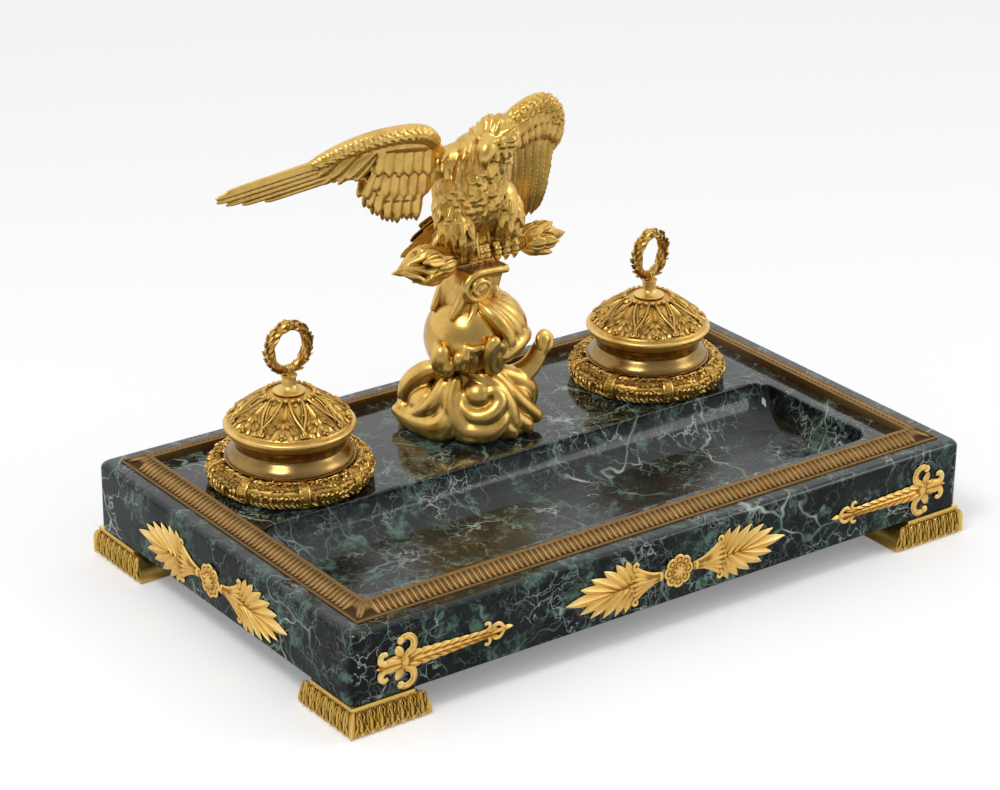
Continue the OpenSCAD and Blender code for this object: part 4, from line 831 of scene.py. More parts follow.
def wreath_shell():
    arc = [(RING_MID + (RING_TUBE - 0.55) * cos(radians(b)), RING_TUBE + (RING_TUBE - 0.55) * sin(radians(b)))
           for b in range(-80, 171, 10)]
    body = turned([*arc, (RING_MID - 5, RING_TUBE + 5.8), (RING_MID - 5, 0), (RING_MID + 1, 0)], 120)
    leaves, berries = wreath_marks()
    parts = [body, copies("points", leaf(3.7, 2.3, 0.9, "laurel", steps=5, bend=0.03, rib=0.4, under=0.3), WELL_GILT,
                          marks=leaves),
             copies("points", ball((0, 0, 0), 0.72, 4, 6), WELL_GILT, marks=berries)]
    # one ribbon: a flat band over the half-round, with small square bosses between two raised edges
    for k in range(8):
        turn = 45 * k + 22.5
        edge = []
        for rise in np.linspace(-62, 128, 20):
            ring = []
            for offset, lift in ((-2.9, -0.9), (-2.9, 0.35), (-2.2, 0.6), (-1.9, 0.15), (1.9, 0.15), (2.2, 0.6), (2.9, 0.35),
                                 (2.9, -0.9)):
                spot, face = ring_spot(turn + degrees(offset / RING_R), rise, lift)
                ring.append(spot)
            edge.append(ring)
        parts.append(skin(edge))
        for rise in range(-48, 121, 24):
            spot, face = ring_spot(turn, rise, 0.1)
            along = np.array([-sin(radians(turn)), cos(radians(turn)), 0])
            boss = skin([[(-1.2, -1.0, -0.3), (1.2, -1.0, -0.3), (1.2, 1.0, -0.3), (-1.2, 1.0, -0.3)],
                         [(-0.9, -0.7, 0.5), (0.9, -0.7, 0.5), (0.9, 0.7, 0.5), (-0.9, 0.7, 0.5)]])
            parts.append(set_on(boss, spot, along, face))
    v, f = join(parts)
    v[:, 2] = np.maximum(v[:, 2], 0.02)
    return v, f


def drum_profile():
    ring_top, drum_top, seat, waist, flange = 13.2, 27.0, 35.9, 30.2, 28.0
    waist_z = ring_top + 8.0
    low = [(waist + (seat - 1 - waist) * cos(pi / 2 * t) ** 1.3, ring_top + 1.3 + (waist_z - ring_top - 1.3) * t)
           for t in np.linspace(0, 1, 14)]
    high = [(waist + (flange + 4 - waist) * (1 - cos(pi / 2 * t)), waist_z + (drum_top - waist_z) * t)
            for t in np.linspace(0.1, 1, 10)]
    return [(0, 0.1), (33.6, 0.1), (33.7, ring_top - 0.1), (seat - 0.2, ring_top), (seat, ring_top + 0.3),
            (seat, ring_top + 1.1), (seat - 0.3, ring_top + 1.3),
            *low, *high, (28.5, drum_top), (28.5, drum_top - 1.8), (25.9, drum_top - 1.8), (25.9, 3.0), (0, 3.0)]


WREATH = wreath_shell()
print("one wreath ring:", len(WREATH[1]), "faces")
for end, (x, y) in WELLS.items():
    where = (x, y, SLAB_TOP)
    finished(end + "_wreath", (WREATH[0] + where, WREATH[1]), end + "_wreath_ring", WELL_GILT, reach=1.3)
    finished(end + "_drum_turned", turned(drum_profile(), 144, where), end + "_drum", DRUM_GILT, sharp=35, reach=9.0)

# %% [markdown]
# ## The lids
#
# The lid is a turned dome with a rounded rim, covered by eight acanthus sectors in relief. One sector is drawn
# flat: x runs from the crown down to the rim, y along the rim, z out of the metal. It is then wrapped onto the
# dome, and Geometry Nodes turns eight copies of it round the axis.

# %% Dome, relief, stem and laurel ring
DRUM_TOP, LID_R, LID_H, CROWN_R = 27.0, 36.1, 23.8, 12.0
CROWN_Z = DRUM_TOP + LID_H
DOME_RUN = 29.0                            # length of the dome's slope from crown to rim
STEM_H, HOLE_R, RING_OUT = 10.5, 9.9, 15.4 # the stem, and the laurel ring's hole and outside


def dome_point(x):
    """Radius and height of the dome at a distance x down its slope from the crown."""
    t = 1 - np.clip(x / DOME_RUN, 0, 1)    # 0 at the rim, 1 at the crown
    return (LID_R - 2) + (CROWN_R - LID_R + 2) * t, DRUM_TOP + 7.9 + (LID_H - 8.6) * t + 0.9 * np.sin(np.pi * t)


def on_dome(shell):
    """Wraps a flat drawing onto the dome."""
    v, f = shell
    r, z = dome_point(v[:, 0])
    r2, z2 = dome_point(v[:, 0] + 0.3)
    slope = np.arctan2(z - z2, r2 - r)
    a = v[:, 1] / np.maximum(r, 1)
    r, z = r + v[:, 2] * np.sin(slope), z + v[:, 2] * np.cos(slope)
    return outward(np.stack([r * np.cos(a), r * np.sin(a), z], 1), f)


def lid_sector():
    """One eighth of the relief, drawn flat."""
    parts = []
    # the broad leaf in the middle: rib, five pairs of lobes and a curled tip
    parts.append(put(leaf(22, 5.0, 0.9, "tongue", steps=10, rib=0.7, under=0.3), 4.5, 0, 0, 0.0))
    fronds = [(6, 26, 8, 3.0), (9, 30, 9.5, 3.3), (12.5, 33, 9.5, 3.5), (16, 38, 9, 3.4), (19.5, 46, 7.5, 3.1)]
    for k, (x, angle, long, wide) in enumerate(fronds):
        for s in (-1, 1):
            parts.append(put(leaf(long, wide, 0.95, "petal", steps=6, rib=0.45, under=0.3), x, s * (0.9 + 0.12 * x),
                             s * angle, 0.05 + 0.06 * k))
    # bell flower with a fan of petals over the leaf's end
    for angle in (-58, -30, 0, 30, 58):
        parts.append(put(leaf(6.2, 2.4, 1.0, "petal", steps=6, rib=0.35, cup=0.2), 15.2, 0, angle, 0.75))
    for x, y, r in ((24.6, 0, 1.3), (26.2, 1.6, 1.0), (26.2, -1.6, 1.0), (27.2, 0, 1.0), (25.2, 0, 1.5)):
        parts.append(ball((x, y, 0.7), r, 5, 8))
    # long ribs that part from the crown and roll up at the rim
    for s in (-1, 1):
        parts.append(tube([(1.0, s * 1.6, 0.7, 0.85), (7, s * 3.2, 0.9, 0.75), (14, s * 6.0, 0.85, 0.65),
                           (21, s * 10.6, 0.7, 0.6), (25.5, s * 13.0, 0.8, 0.7), (26.4, s * 10.6, 0.9, 0.6),
                           (24.6, s * 10.0, 0.8, 0.5)], 7, steps=26))
        parts.append(tube([(2.0, s * 2.8, 0.4, 0.5), (9, s * 5.4, 0.5, 0.5), (16, s * 9.2, 0.5, 0.45),
                           (22, s * 12.6, 0.4, 0.4)], 6, steps=16))
        parts.append(put(leaf(5.4, 3.2, 1.1, "petal", steps=6, rib=0.3, cup=0.2), 22.6, s * 7.2, s * 20, 0.1))
        parts.append(put(leaf(4.6, 2.8, 1.1, "petal", steps=6, rib=0.3, cup=0.2), 23.6, s * 4.0, s * 8, 0.2))
    # between two sectors a slim husk runs down
    parts.append(put(leaf(9, 2.6, 0.9, "laurel", steps=7, rib=0.5), 13.0, 11.4, 8, 0.1))
    parts.append(ball((12.4, 10.2, 0.7), 0.95, 5, 8))
    # beads and scroll tips round the crown
    for y in (-3.4, 0.0, 3.4):
        parts.append(ball((1.4, y, 1.0), 1.35, 5, 8, (1.25, 1, 1)))
    parts.append(put(leaf(4.2, 3.0, 1.3, "petal", steps=6, rib=0.3, cup=0.1), 1.4, 4.9, 0, 0.3))
    return on_dome(join(parts))


def lid_base():
    seat = 31.5
    line = [(seat, DRUM_TOP), (seat + 2.1, DRUM_TOP + 1.2)]
    line += [(LID_R - 1.6 + 1.6 * cos(radians(a)), DRUM_TOP + 5.5 + 1.6 * sin(radians(a))) for a in range(-60, 91, 15)]
    line += [(LID_R - 2.2, DRUM_TOP + 7.3)]
    line += [(float(r), float(z)) for r, z in (dome_point(x) for x in np.linspace(DOME_RUN - 0.4, 0, 26))]
    inside = [(2.3, CROWN_Z), (2.3, CROWN_Z - 2.4), (CROWN_R, CROWN_Z - 2.4), (21.3, DRUM_TOP + 10.9), (21.3, DRUM_TOP - 4),
              (22.7, DRUM_TOP - 4), (22.7, DRUM_TOP)]
    return turned([*line, *inside], 144)


def stem_profile():
    low = [(8.6 + (3.9 - 8.6) * sin(pi / 2 * t) ** 0.75, 1.0 + 3.6 * t) for t in np.linspace(0, 1, 12)]
    return [(2.2, 0.02), (8.7, 0.02), (9.0, 0.3), (9.0, 0.7), *low, (3.9, 8.4), (4.4, 8.9), (4.6, 9.4), (4.4, 9.9),
            (3.6, 10.2), (3.0, 10.5), (2.2, 10.5)]


def laurel_shell(turn):
    """The ring handle: leaves wound like rope round a bar, bound at the bottom and at the top."""
    mid, bar = 12.6, 2.8
    v, f = turned([(mid + bar * 0.68 * cos(a), bar * 0.68 * sin(a)) for a in np.linspace(0, 2 * pi, 12, endpoint=False)], 64)
    parts = [(v, f)]
    marks = []
    for way in (-1, 1):
        for k in range(13):
            for j in range(4):
                a = radians(-90 + way * (12 + 12.6 * k))
                b = radians(90 * j + 26 * k * way + 20)
                out = np.array([cos(a), sin(a), 0])
                face = out * cos(b) + np.array([0, 0, 1]) * sin(b)
                ahead = way * np.array([-sin(a), cos(a), 0])
                around = np.cross(face, ahead)
                marks.append((out * mid + face * bar * 0.55, ahead * 0.9 + around * 0.55 * way + face * 0.14, face, 1.0))
    parts.append(copies("points", leaf(5.9, 2.9, 0.95, "laurel", steps=7, bend=0.018, rib=0.4), WELL_GILT, marks=marks))
    for a in (-90, 90):                    # bindings with three ridges
        a = radians(a)
        for offset in (-1.5, 0, 1.5):
            centre = np.array([mid * cos(a) + offset, mid * sin(a), 0])
            ring = [(centre + (0, cos(b) * 2.9, sin(b) * 2.75)) for b in np.linspace(0, 2 * pi, 17)[:-1]]
            narrow = [centre + (p - centre) * 0.88 for p in ring]
            parts.append(skin([[p - (0.75, 0, 0) for p in narrow], [p - (0.35, 0, 0) for p in ring],
                               [p + (0.35, 0, 0) for p in ring], [p + (0.75, 0, 0) for p in narrow]]))
    v, f = join(parts)
    far = np.linalg.norm(v[:, :2], axis=1)[:, None]
    v = np.clip(far, HOLE_R, RING_OUT - 0.05) * (v * (1, 1, 0)) / np.maximum(far, 1e-6) + v * (0, 0, 1)
    v = np.stack([v[:, 0], -v[:, 2], v[:, 1] + CROWN_Z + STEM_H + RING_OUT - 0.7], 1)
    v, f = outward(v, f)
    stud = turned([(0, CROWN_Z - 6.4), (2.0, CROWN_Z - 6.4), (2.0, CROWN_Z + STEM_H), (3.0, CROWN_Z + STEM_H + 0.05),
                   (3.0, CROWN_Z + 12.8), (0, CROWN_Z + 12.8)], 24)
    return spun(join([(v, f), stud]), turn)


SECTOR = lid_sector()
LID_RELIEF = copies("round", SECTOR, WELL_GILT, **{"Count": 8, "First turn": 0.0, "Centre": (0, 0, 0)})
LID = join([lid_base(), LID_RELIEF])
for end, (x, y) in WELLS.items():
    where = np.array((x, y, SLAB_TOP))
    body = end + "_lid"
    turn = {"left": 5, "right": 15}[end]
    finished(end + "_lid_chased", (spun(LID, turn)[0] + where, LID[1]), end + "_lid", WELL_GILT, body, reach=1.7)
    finished(end + "_stem_turned", turned(stem_profile(), 64, where + (0, 0, CROWN_Z)), end + "_lid_stem", WELL_GILT, body,
             sharp=35)
    shell = laurel_shell(turn)
    finished(end + "_laurel_handle", (shell[0] + where, shell[1]), end + "_laurel_ring", WELL_GILT, body, reach=1.1)

# %% [markdown]
# ## Soft castings
#
# Bodies and clouds were modelled in wax, where one roll of wax melts into the next. Overlapping tubes, balls and
# leaves give the rough form; a voxel remesh turns them into one skin and a few smoothing passes melt the joins.
# Feathers that go through the same melt look chased into the metal instead of stuck on.

# %% Melting shells into one skin
# each casting's remesh grain in millimetres: fine enough for its smallest ridge, and no finer than it needs
GRAINS = {"core": 0.8, "clouds": 0.66, "volute": 0.55, "body": 0.53, "wing": 0.48, "flame": 0.42}


def melted(shells, casting, passes):
    """One smooth skin round overlapping shells: remeshed at the casting's grain, then smoothed."""
    rough = bpy.data.objects.new("rough", mesh_of("rough", join(shells)))
    bpy.context.scene.collection.objects.link(rough)
    remesh = rough.modifiers.new("remesh", "REMESH")
    remesh.mode, remesh.voxel_size = "VOXEL", GRAINS[casting] * MM * 1.0
    smooth = rough.modifiers.new("smooth", "SMOOTH")
    smooth.iterations, smooth.factor = passes, 0.5
    made = bpy.data.meshes.new_from_object(rough.evaluated_get(bpy.context.evaluated_depsgraph_get()))
    shell = read_mesh(made)
    bpy.data.objects.remove(rough)
    bpy.data.meshes.remove(made)
    return shell


def cast(name, shell, node, finish=STATUE_GILT, sharp=0, reach=5.0):
    """A piece of the statue, drawn round the statue's own axis and moved to its place."""
    finished(name, (np.add(shell[0], EAGLE_AT), shell[1]), node, finish, sharp=sharp, reach=reach)


def tree_of(shell):
    return BVHTree.FromPolygons(shell[0].tolist(), shell[1])


def surface(tree, start, towards, reach=200):
    """The place and the outward normal where a ray meets a skin, or None."""
    at, normal, _, _ = tree.ray_cast(Vector(start), Vector(unit(towards)), reach)
    if at is None:
        return None
    n = np.array(normal)
    return np.array(at), (n if n @ np.asarray(towards) < 0 else -n)


print("melting is ready")

# %% [markdown]
# ## Clouds and globe
#
# The base is a ring of cloud banks. Each bank is a swelling with a scroll on it: a fat line that winds in to its
# eye, as a carver would cut a rolling cloud, with a rolled hem at the marble. A horn leans to the right, and a
# drape of cloud fans over the globe's right side and rolls up at its edge. The globe itself is plain and polished.

# %% Clouds
GLOBE, GLOBE_R, SEAT_R = np.array([0, 0, 52.0]), 25.7, 25.9


def cloud_bank(turn, size=1.0, way=1, lift=0.0):
    """One bank of cloud at an angle round the base: a swelling, its scroll and its rolled hem."""
    a = radians(turn)
    c, s = np.array([cos(a), sin(a), 0]), np.array([-sin(a), cos(a), 0]) * way

    def on_bank(u, z, out=0.0):
        """A place on the bank's swelling, u along its width."""
        dome = sqrt(max(0.0, 1 - (u / (17 * size)) ** 2 - ((z - 12 - lift) / (20 * size)) ** 2))
        return c * (17.5 + 9.0 * size * dome + max(0.0, 15 - z) * 0.66 + out) + s * u + np.array([0, 0, z])

    parts = [tube([(*(c * 14 + (0, 0, 27 + lift)), 8.0 * size), (*(c * 18 + (0, 0, 17 + lift)), 9.5 * size),
                   (*(c * 25 + (0, 0, 7.5 + lift * 0.6)), 8.5 * size)], 14, steps=14)]
    scroll = []
    for k in range(21):                    # from the hem up over the top and in to the eye
        b = radians(-120 + 30 * k)
        r = size * (12.5 - 0.54 * k)
        scroll.append((*on_bank(1.0 * size + r * cos(b), max(3.4, 13.0 + lift + r * 0.9 * sin(b)), 0.4), size * (3.9 - 0.1 * k)))
    parts.append(tube(scroll, 12, steps=90))
    hem = [(*on_bank(u * size, 4.0 + lift * 0.55 + abs(u) * 0.1, 1.4), size * (4.3 - abs(u) * 0.15))
           for u in (-15, -9, -2, 5, 11, 15)]
    parts.append(tube(hem, 12, steps=26))
    for off in (0.0, 1.0):                 # two folds that fall from under the globe into the scroll
        fold = [(*on_bank(-13 + 5 * off, 27 + lift, -1.0), 1.6), (*on_bank(-12.5 + 4 * off, 18 + lift, 0.6), 2.5),
                (*on_bank(-9 + 3 * off, 9 + lift * 0.5, 0.8), 1.8)]
        parts.append(tube(fold, 10, steps=16))
    return parts


def on_globe(turn, tilt, out):
    """A place over the globe: turn round the upright axis, tilt from its top, both in degrees."""
    a, b = radians(turn), radians(tilt)
    return GLOBE + (GLOBE_R + out) * np.array([sin(b) * cos(a), sin(b) * sin(a), cos(b)])


def seen(right, front, up):
    """A place given as the statue's front corner is seen: to the right, to the front and up, in millimetres."""
    return np.array([0.81 * right - 0.59 * front, -0.59 * right - 0.81 * front, up])


def cloud_parts():
    parts = [turned([(0, 0), (27, 0), (26, 6), (23, 14), (20.5, 22), (19.5, 30), (0, 30)], 40)]
    for turn, size, way, lift in ((8, 0.9, -1, -1), (52, 0.92, 1, 3), (88, 0.85, -1, -1), (124, 0.85, 1, 2)):
        parts += cloud_bank(turn, size, way, lift)
    # smooth banks at the sides, each a few points (right, front, up, radius) seen from the front corner
    for line in ([(-6, 22, 22, 8), (-13, 27, 9, 9), (-24, 20, 6.5, 7.6), (-34, 10, 6.5, 6.2), (-40, 6, 8.5, 3.8)],
                 [(-13, 20, 30, 5), (-20, 23, 19, 5.5), (-29, 17, 11, 4.0), (-36, 10, 10.5, 2.6)],
                 [(-14, 8, 36, 5), (-24, 6, 32, 6.5), (-32, 4, 24, 6.8), (-35, 4, 14, 5.6), (-37, 7, 11, 4.2)],
                 [(-18, -4, 30, 6), (-31, -6, 20, 7), (-34, -8, 9, 7), (-36, -4, 4, 4)],
                 [(16, 4, 30, 7), (28, 0, 24, 7.2), (32, -2, 17, 7.4), (29, -3, 8, 8)],
                 [(14, 14, 33, 5), (22, 13, 24, 5.0), (31, 11, 14, 4.8), (37.5, 9, 7.5, 4.6)],
                 [(12, 18, 33, 4), (18, 20, 23, 4.6), (26, 20, 11, 5.0), (32, 18, 5.4, 4.8)],
                 [(8, 22, 32, 3.2), (12, 25, 21, 3.8), (19, 26, 9, 4.8), (24, 25, 4.5, 4.6)],
                 [(24, 6, 6, 7), (30, 14, 5, 6.0), (20, 24, 4.5, 5.5)], [(-4, 12, 36, 8), (0, 14, 27, 9), (2, 17, 18, 11)]):
        parts.append(tube([(*seen(a, b, z), r) for a, b, z, r in line], 14, steps=34))
    parts += [ball(seen(a, b, z), r, 12, 18)
              for a, b, z, r in ((4, 20.5, 13, 13.0), (5, 21.5, 25, 9.5), (-22, 9, 14, 12.5), (24, 4, 14, 12), (-12, 15, 24, 9))]
    # the front bank: a fat crescent down the left, along the marble and up the right, and one within it that curls to its tip
    for line, steps in (([(-7.5, 22, 33, 4.0), (-9.6, 25.5, 23.4, 5.4), (-8.1, 28.5, 15.2, 6.4), (-2.4, 30, 8.0, 7.2),
                          (5.5, 31, 6.6, 7.2), (13.0, 29.5, 7.4, 6.6), (18.4, 27.5, 12.0, 4.8), (19.6, 25, 17.0, 3.0)], 80),
                        ([(-3.4, 25.5, 26.0, 2.4), (-2.6, 28.0, 19.8, 4.2), (2.2, 29.6, 15.6, 5.4), (8.6, 30.0, 15.2, 5.8),
                          (14.6, 28.2, 18.4, 5.4), (17.2, 25.6, 23.6, 4.8), (14.2, 24.6, 28.0, 4.0), (9.6, 26.0, 27.2, 3.0),
                          (6.8, 27.0, 24.4, 1.8)], 90),
                        ([(0, 18, 38, 3.4), (9, 21, 34.5, 4.6), (16.5, 20.5, 28, 5.2), (22, 22, 18, 5.2),
                          (25, 23.5, 8.5, 4.6)], 40)):
        parts.append(tube([(*seen(a, b, z), r) for a, b, z, r in line], 14, steps=steps))
    # the fan of folds that falls over the globe's right side, and the roll along its lower edge
    for k, turn in enumerate((282, 298, 314, 330, 346, 2, 20)):
        top = on_globe(turn - 26, 24, 1.0)
        parts.append(tube([(*top, 2.6), (*on_globe(turn - 14, 44, 2.4), 3.8), (*on_globe(turn - 4, 62, 3.2), 4.4),
                           (*on_globe(turn + 2, 80 - 2 * (k % 2), 3.6), 4.2), (*on_globe(turn + 2, 98, 2.0), 4.6)], 12, steps=26))
    roll = [(*on_globe(turn, tilt, 4.4), r)
            for turn, tilt, r in ((276, 96, 3.2), (292, 90, 4.4), (308, 86, 5.0), (324, 88, 5.0), (340, 92, 4.8),
                                  (0, 96, 4.4), (20, 102, 4.0))]
    parts.append(tube(roll, 14, steps=50))
    # under the globe's front: a fat bulb with a small one beside it, a fold, and a big open curl
    for a, b, z, r, tall in ((-15.2, 22.5, 46.8, 6.3, 1.5), (-12.0, 24.5, 42.5, 4.8, 1.1), (-16.5, 20.0, 51.5, 4.8, 1.2),
            (-5.8, 26.6, 47.2, 3.3, 1.75)):
        parts.append(ball(seen(a, b, z), r, 14, 20, (1, 1, tall)))
    for line in ([(-2.4, 26.6, 56.5, 1.6), (-1.6, 28.0, 50, 3.0), (-2.0, 26.5, 42.5, 2.2)],
                 [(-2.0, 26.6, 56, 1.5), (3.2, 27.4, 54.5, 2.4), (7.4, 26.0, 56, 1.4)],
                 [(3.4, 26.6, 53, 2.2), (4.0, 26.2, 46, 2.4), (2.0, 25, 41, 2.0)]):
        parts.append(tube([(*seen(a, b, z), r) for a, b, z, r in line], 12, steps=24))
    middle = on_globe(266, 94, 3.2)
    c = unit(middle - GLOBE) * (1, 1, 0.35)
    s = unit(np.cross((0, 0, 1), c))
    up = unit(np.cross(c, s))
    curl = []
    for k in range(15):
        b = radians(110 + 400 * k / 14)
        q = 1 - 0.035 * k
        spot = middle + s * 5.4 * q * cos(b + 0.2) + up * 11.0 * q * sin(b + 0.2) + unit(c) * (1.6 * sin(b))
        curl.append((*spot, 4.0 * (1 - 0.03 * k)))
    parts += [tube(curl, 12, steps=60), ball(middle - unit(c) * 1.0, 4.6, 12, 18, (1, 1, 1.9))]
    # horn to the right: it widens to a rolled lip
    parts.append(tube([(14, -10, 26, 6.4), (24, -14, 28, 6.2), (31, -16.5, 33, 5.6), (36.0, -17.5, 40.5, 5.2),
                       (38.5, -18.0, 46.5, 4.2)], 14, steps=30))
    parts.append(tube([(35.0, -20.5, 40.0, 1.9), (41.0, -20.0, 42.0, 2.2), (43.0, -18.0, 47.0, 2.2), (39.0, -17.0, 50.4, 2.2),
                       (34.6, -18.5, 48.0, 2.0), (34.4, -20.6, 43.5, 1.8)], 10, steps=40))
    parts.append(tube([(18, -17, 24, 3.2), (27, -20, 27.5, 3.0), (34, -21, 35, 2.4), (38, -20.5, 42, 1.6)], 10, steps=24))
    return parts


v, f = melted(cloud_parts(), "clouds", 9)
away = np.linalg.norm(v - GLOBE, axis=1)
near = away < SEAT_R                       # the seat of the globe
v[near] = GLOBE + (v[near] - GLOBE) * (SEAT_R / np.maximum(away[near], 1e-6))[:, None]
v[:, 2] = np.maximum(v[:, 2], 0.02)
cast("cloud_base_cast", (v, f), "cloud_base", reach=7.0)

cast("globe_polished", ball(GLOBE, GLOBE_R, 48, 96), "globe", GLOBE_GILT, reach=4.0)

# %% [markdown]
# ## Volute block and thunderbolt
#
# The block is a scroll of thick metal: its outline is drawn once and pushed from front to back, and a spiral
# roll winds down to an eye on both faces. On it lies the thunderbolt: three twisted strands between ringed
# collars, and a flame at each end, every tongue a twisted tube.

# %% Volute block
def slab_of(outline, y0, y1, soft=1.0):
    """A flat outline in x and z pushed from y0 to y1 with softly rounded edges."""
    p = np.array(outline, float)
    centre = p.mean(0)
    rings = []
    for y, part in ((y0, 1 - soft / 12), (y0 + soft * 0.3, 1 - soft / 40), (y0 + soft, 1.0), (y1 - soft, 1.0),
                    (y1 - soft * 0.3, 1 - soft / 40), (y1, 1 - soft / 12)):
        q = centre + (p - centre) * part
        rings.append([(x, y, z) for x, z in q])
    return skin(rings)


def volute_shell():
    outline = [(-13, 62), (13, 62), (12.4, 72), (12.5, 81), (14.5, 88), (17, 94.6), (-8.4, 94.6), (-11, 91.5), (-13.5, 87),
               (-13.5, 80), (-14, 72)]
    parts = [slab_of(outline, -11.4, 11.4, 1.4),
             spun_x(turned([(0, -12.2), (8.6, -12.2), (9.4, -11.4), (9.4, 11.4), (8.6, 12.2), (0, 12.2)], 48), (-2.5, 0, 84.4))]
    for way in (-1, 1):
        roll = [(17.0, way * 11.4, 91.4, 1.8), (11.0, way * 12.2, 92.9, 2.5)]
        for k in range(34):
            a = radians(74 + 21 * k)
            r = 11.6 * exp(-0.044 * k)
            roll.append((-2.5 + r * cos(a), way * (12.2 + 0.05 * k), 84.6 + 0.8 * r * sin(a), 2.5 * exp(-0.016 * k)))
        parts += [tube(roll, 12, steps=170), ball((-2.5, way * 13.4, 84.6), 2.3, 8, 14)]
        # folds that run down from the scroll over the globe, on both sides
        for path in ([(-11, way * 10, 82, 3.0), (-14.6, way * 9.5, 75, 2.8), (-18.5, way * 9, 69.5, 1.8)],
                     [(-5, way * 12, 76, 2.6), (-7.5, way * 13.5, 71, 2.6), (-12.5, way * 15, 66.5, 1.6)],
                     [(10, way * 11, 80, 2.6), (11.5, way * 11.5, 73, 2.6), (14.5, way * 12.5, 68, 1.6)]):
            parts.append(tube(path, 10, steps=18))
    parts.append(slab_of([(-9.6, 91.6), (17.4, 91.6), (18.2, 92.8), (17.6, 94.5), (-9, 94.5), (-10.2, 93)], -12.8, 12.8, 0.9))
    return melted(parts, "volute", 4)


def spun_x(shell, at):
    """Lays a turned shell on its side, its axis along Y, and moves it."""
    v, f = shell
    return outward(np.stack([v[:, 0], v[:, 2], v[:, 1]], 1) + np.array(at, float), f)


def along_x(profile, at, steps=32):
    """A turned profile whose axis lies along X."""
    v, f = turned(profile, steps)
    return outward(np.stack([v[:, 2], v[:, 0], v[:, 1]], 1) + np.array(at, float), f)


cast("volute_cap_scroll", volute_shell(), "volute_cap", sharp=50)

# %% Thunderbolt
BOLT_X0, BOLT_X1, BOLT_Z, BOLT_R = -9.0, 35.0, 100.0, 4.6


def shaft_shell():
    parts = [tube([(BOLT_X0 + 4.4 + t, 0, BOLT_Z, BOLT_R * 0.86) for t in np.linspace(0, 35.2, 12)], 30, steps=110, strands=3,
                  depth=0.15, pitch=0.42, round_ends=False)]
    collar = [(0, 0), (3.9, 0.1)] + [(BOLT_R - 0.75 + 0.75 * abs(sin(radians(a))), 0.2 + 4.2 * a / 540)
            for a in range(0, 541, 20)] + [(3.9, 4.5), (0, 4.6)]
    for x in (BOLT_X0, BOLT_X1 - 4.6):
        parts.append(along_x(collar, (x, 0, BOLT_Z), 40))
    # a beaded thread in every groove of the twist
    for k in range(3):
        thread = [(BOLT_X0 + 5 + t, 4.05 * cos(0.42 * t + 2.094 * k + 1.05), BOLT_Z + 4.05 * sin(0.42 * t + 2.094 * k + 1.05),
                   0.5) for t in np.linspace(0, 34, 60)]
        parts.append(tube(thread, 6, steps=80))
    return join(parts)


def flame_shell(length, seed):
    """A flame along +X from the shaft: a leafy cup, then tongues that lick and curl round one another."""
    cup = length * 0.45
    dice = np.random.default_rng(seed)
    parts = [along_x([(0, 0.1), (4.0, 0.1), (4.8, 0.8), (4.8, 1.8), (4.0, 2.4), (6.0, cup * 0.2), (5.0, cup * 0.34),
                      (6.2, cup * 0.6), (6.8, cup * 0.9), (4.5, cup), (0, cup)], (0, 0, 0), 32)]
    for row, (count, start, long, out) in enumerate([(6, 0.10, 0.52, 5.2), (5, 0.42, 0.66, 6.2)]):
        for k in range(count):             # fat leaves whose tips roll outwards
            a = 2 * pi * (k + 0.5 * row) / count
            radial = np.array([0, cos(a), sin(a)])
            side = np.cross((1, 0, 0), radial)
            for off, fat in ((-1, 0.8), (0, 1.25), (1, 0.8)):
                base = np.array([cup * start, 0, 0]) + radial * out * 0.8
                far = length * long * (0.62 if off == 0 else 0.5)
                path = [base, base + (far * 0.4, 0, 0) + radial * 2.4 + side * off * 2.4,
                        base + (far * 0.8, 0, 0) + radial * 3.6 + side * off * 2.8,
                        base + (far, 0, 0) + radial * 4.4 + side * off * 1.8]
                parts.append(tube([(*p, r) for p, r in zip(path, (1.4, 1.9 * fat, 1.6 * fat, 0.9))], 8, steps=14))
    for k in range(8):
        a = 2 * pi * k / 8 + 0.3
        spread = (0.0, 0.26, 0.34, 0.2)[k % 4] * length * 0.5
        far = length * (0.97, 0.80, 0.90, 0.86)[k % 4] * dice.uniform(0.95, 1.0)
        turn = 1.3 + dice.uniform(-0.3, 0.3)
        path = []
        for t in np.linspace(0, 1, 8):
            b = a + turn * t * t
            q = spread * sin(pi * (0.18 + 0.74 * t)) + 1.0 * sin(6 * t)
            path.append((cup * 0.5 + (far - cup * 0.5) * t, q * cos(b), q * sin(b),
                         3.7 * (1 - t) ** 0.6 * (1 - 0.25 * (t < 0.1)) + 0.55))
        parts.append(tube(path, 12, steps=34, strands=3, depth=0.14, pitch=0.3))
    v, f = melted(parts, "flame", 2)
    v[:, 0] = np.clip(v[:, 0], 0.0, length - 0.2)
    return v, f


cast("thunderbolt_shaft_twisted", shaft_shell(), "thunderbolt_shaft", sharp=50, reach=3.0)
for side, length, seed, way, at in (("left", 45, 3, -1, BOLT_X0 - 0.15), ("right", 32, 5, 1, BOLT_X1 + 0.15)):
    v, f = flame_shell(length, seed)
    cast(side + "_flame_cast", (v * (way, way, 1) + (at, 0, BOLT_Z), f), side + "_flame", sharp=55, reach=4.0)

# %% [markdown]
# ## The eagle's body
#
# The body, neck and thighs are melted from balls and tubes that follow the measured casting. Rays from outside
# find that skin and its slope, and each ray leaves a mark that says where a feather sits, which way it points and
# how big it is. Geometry Nodes puts one drawn feather on every mark, and one more melt binds them to the body.

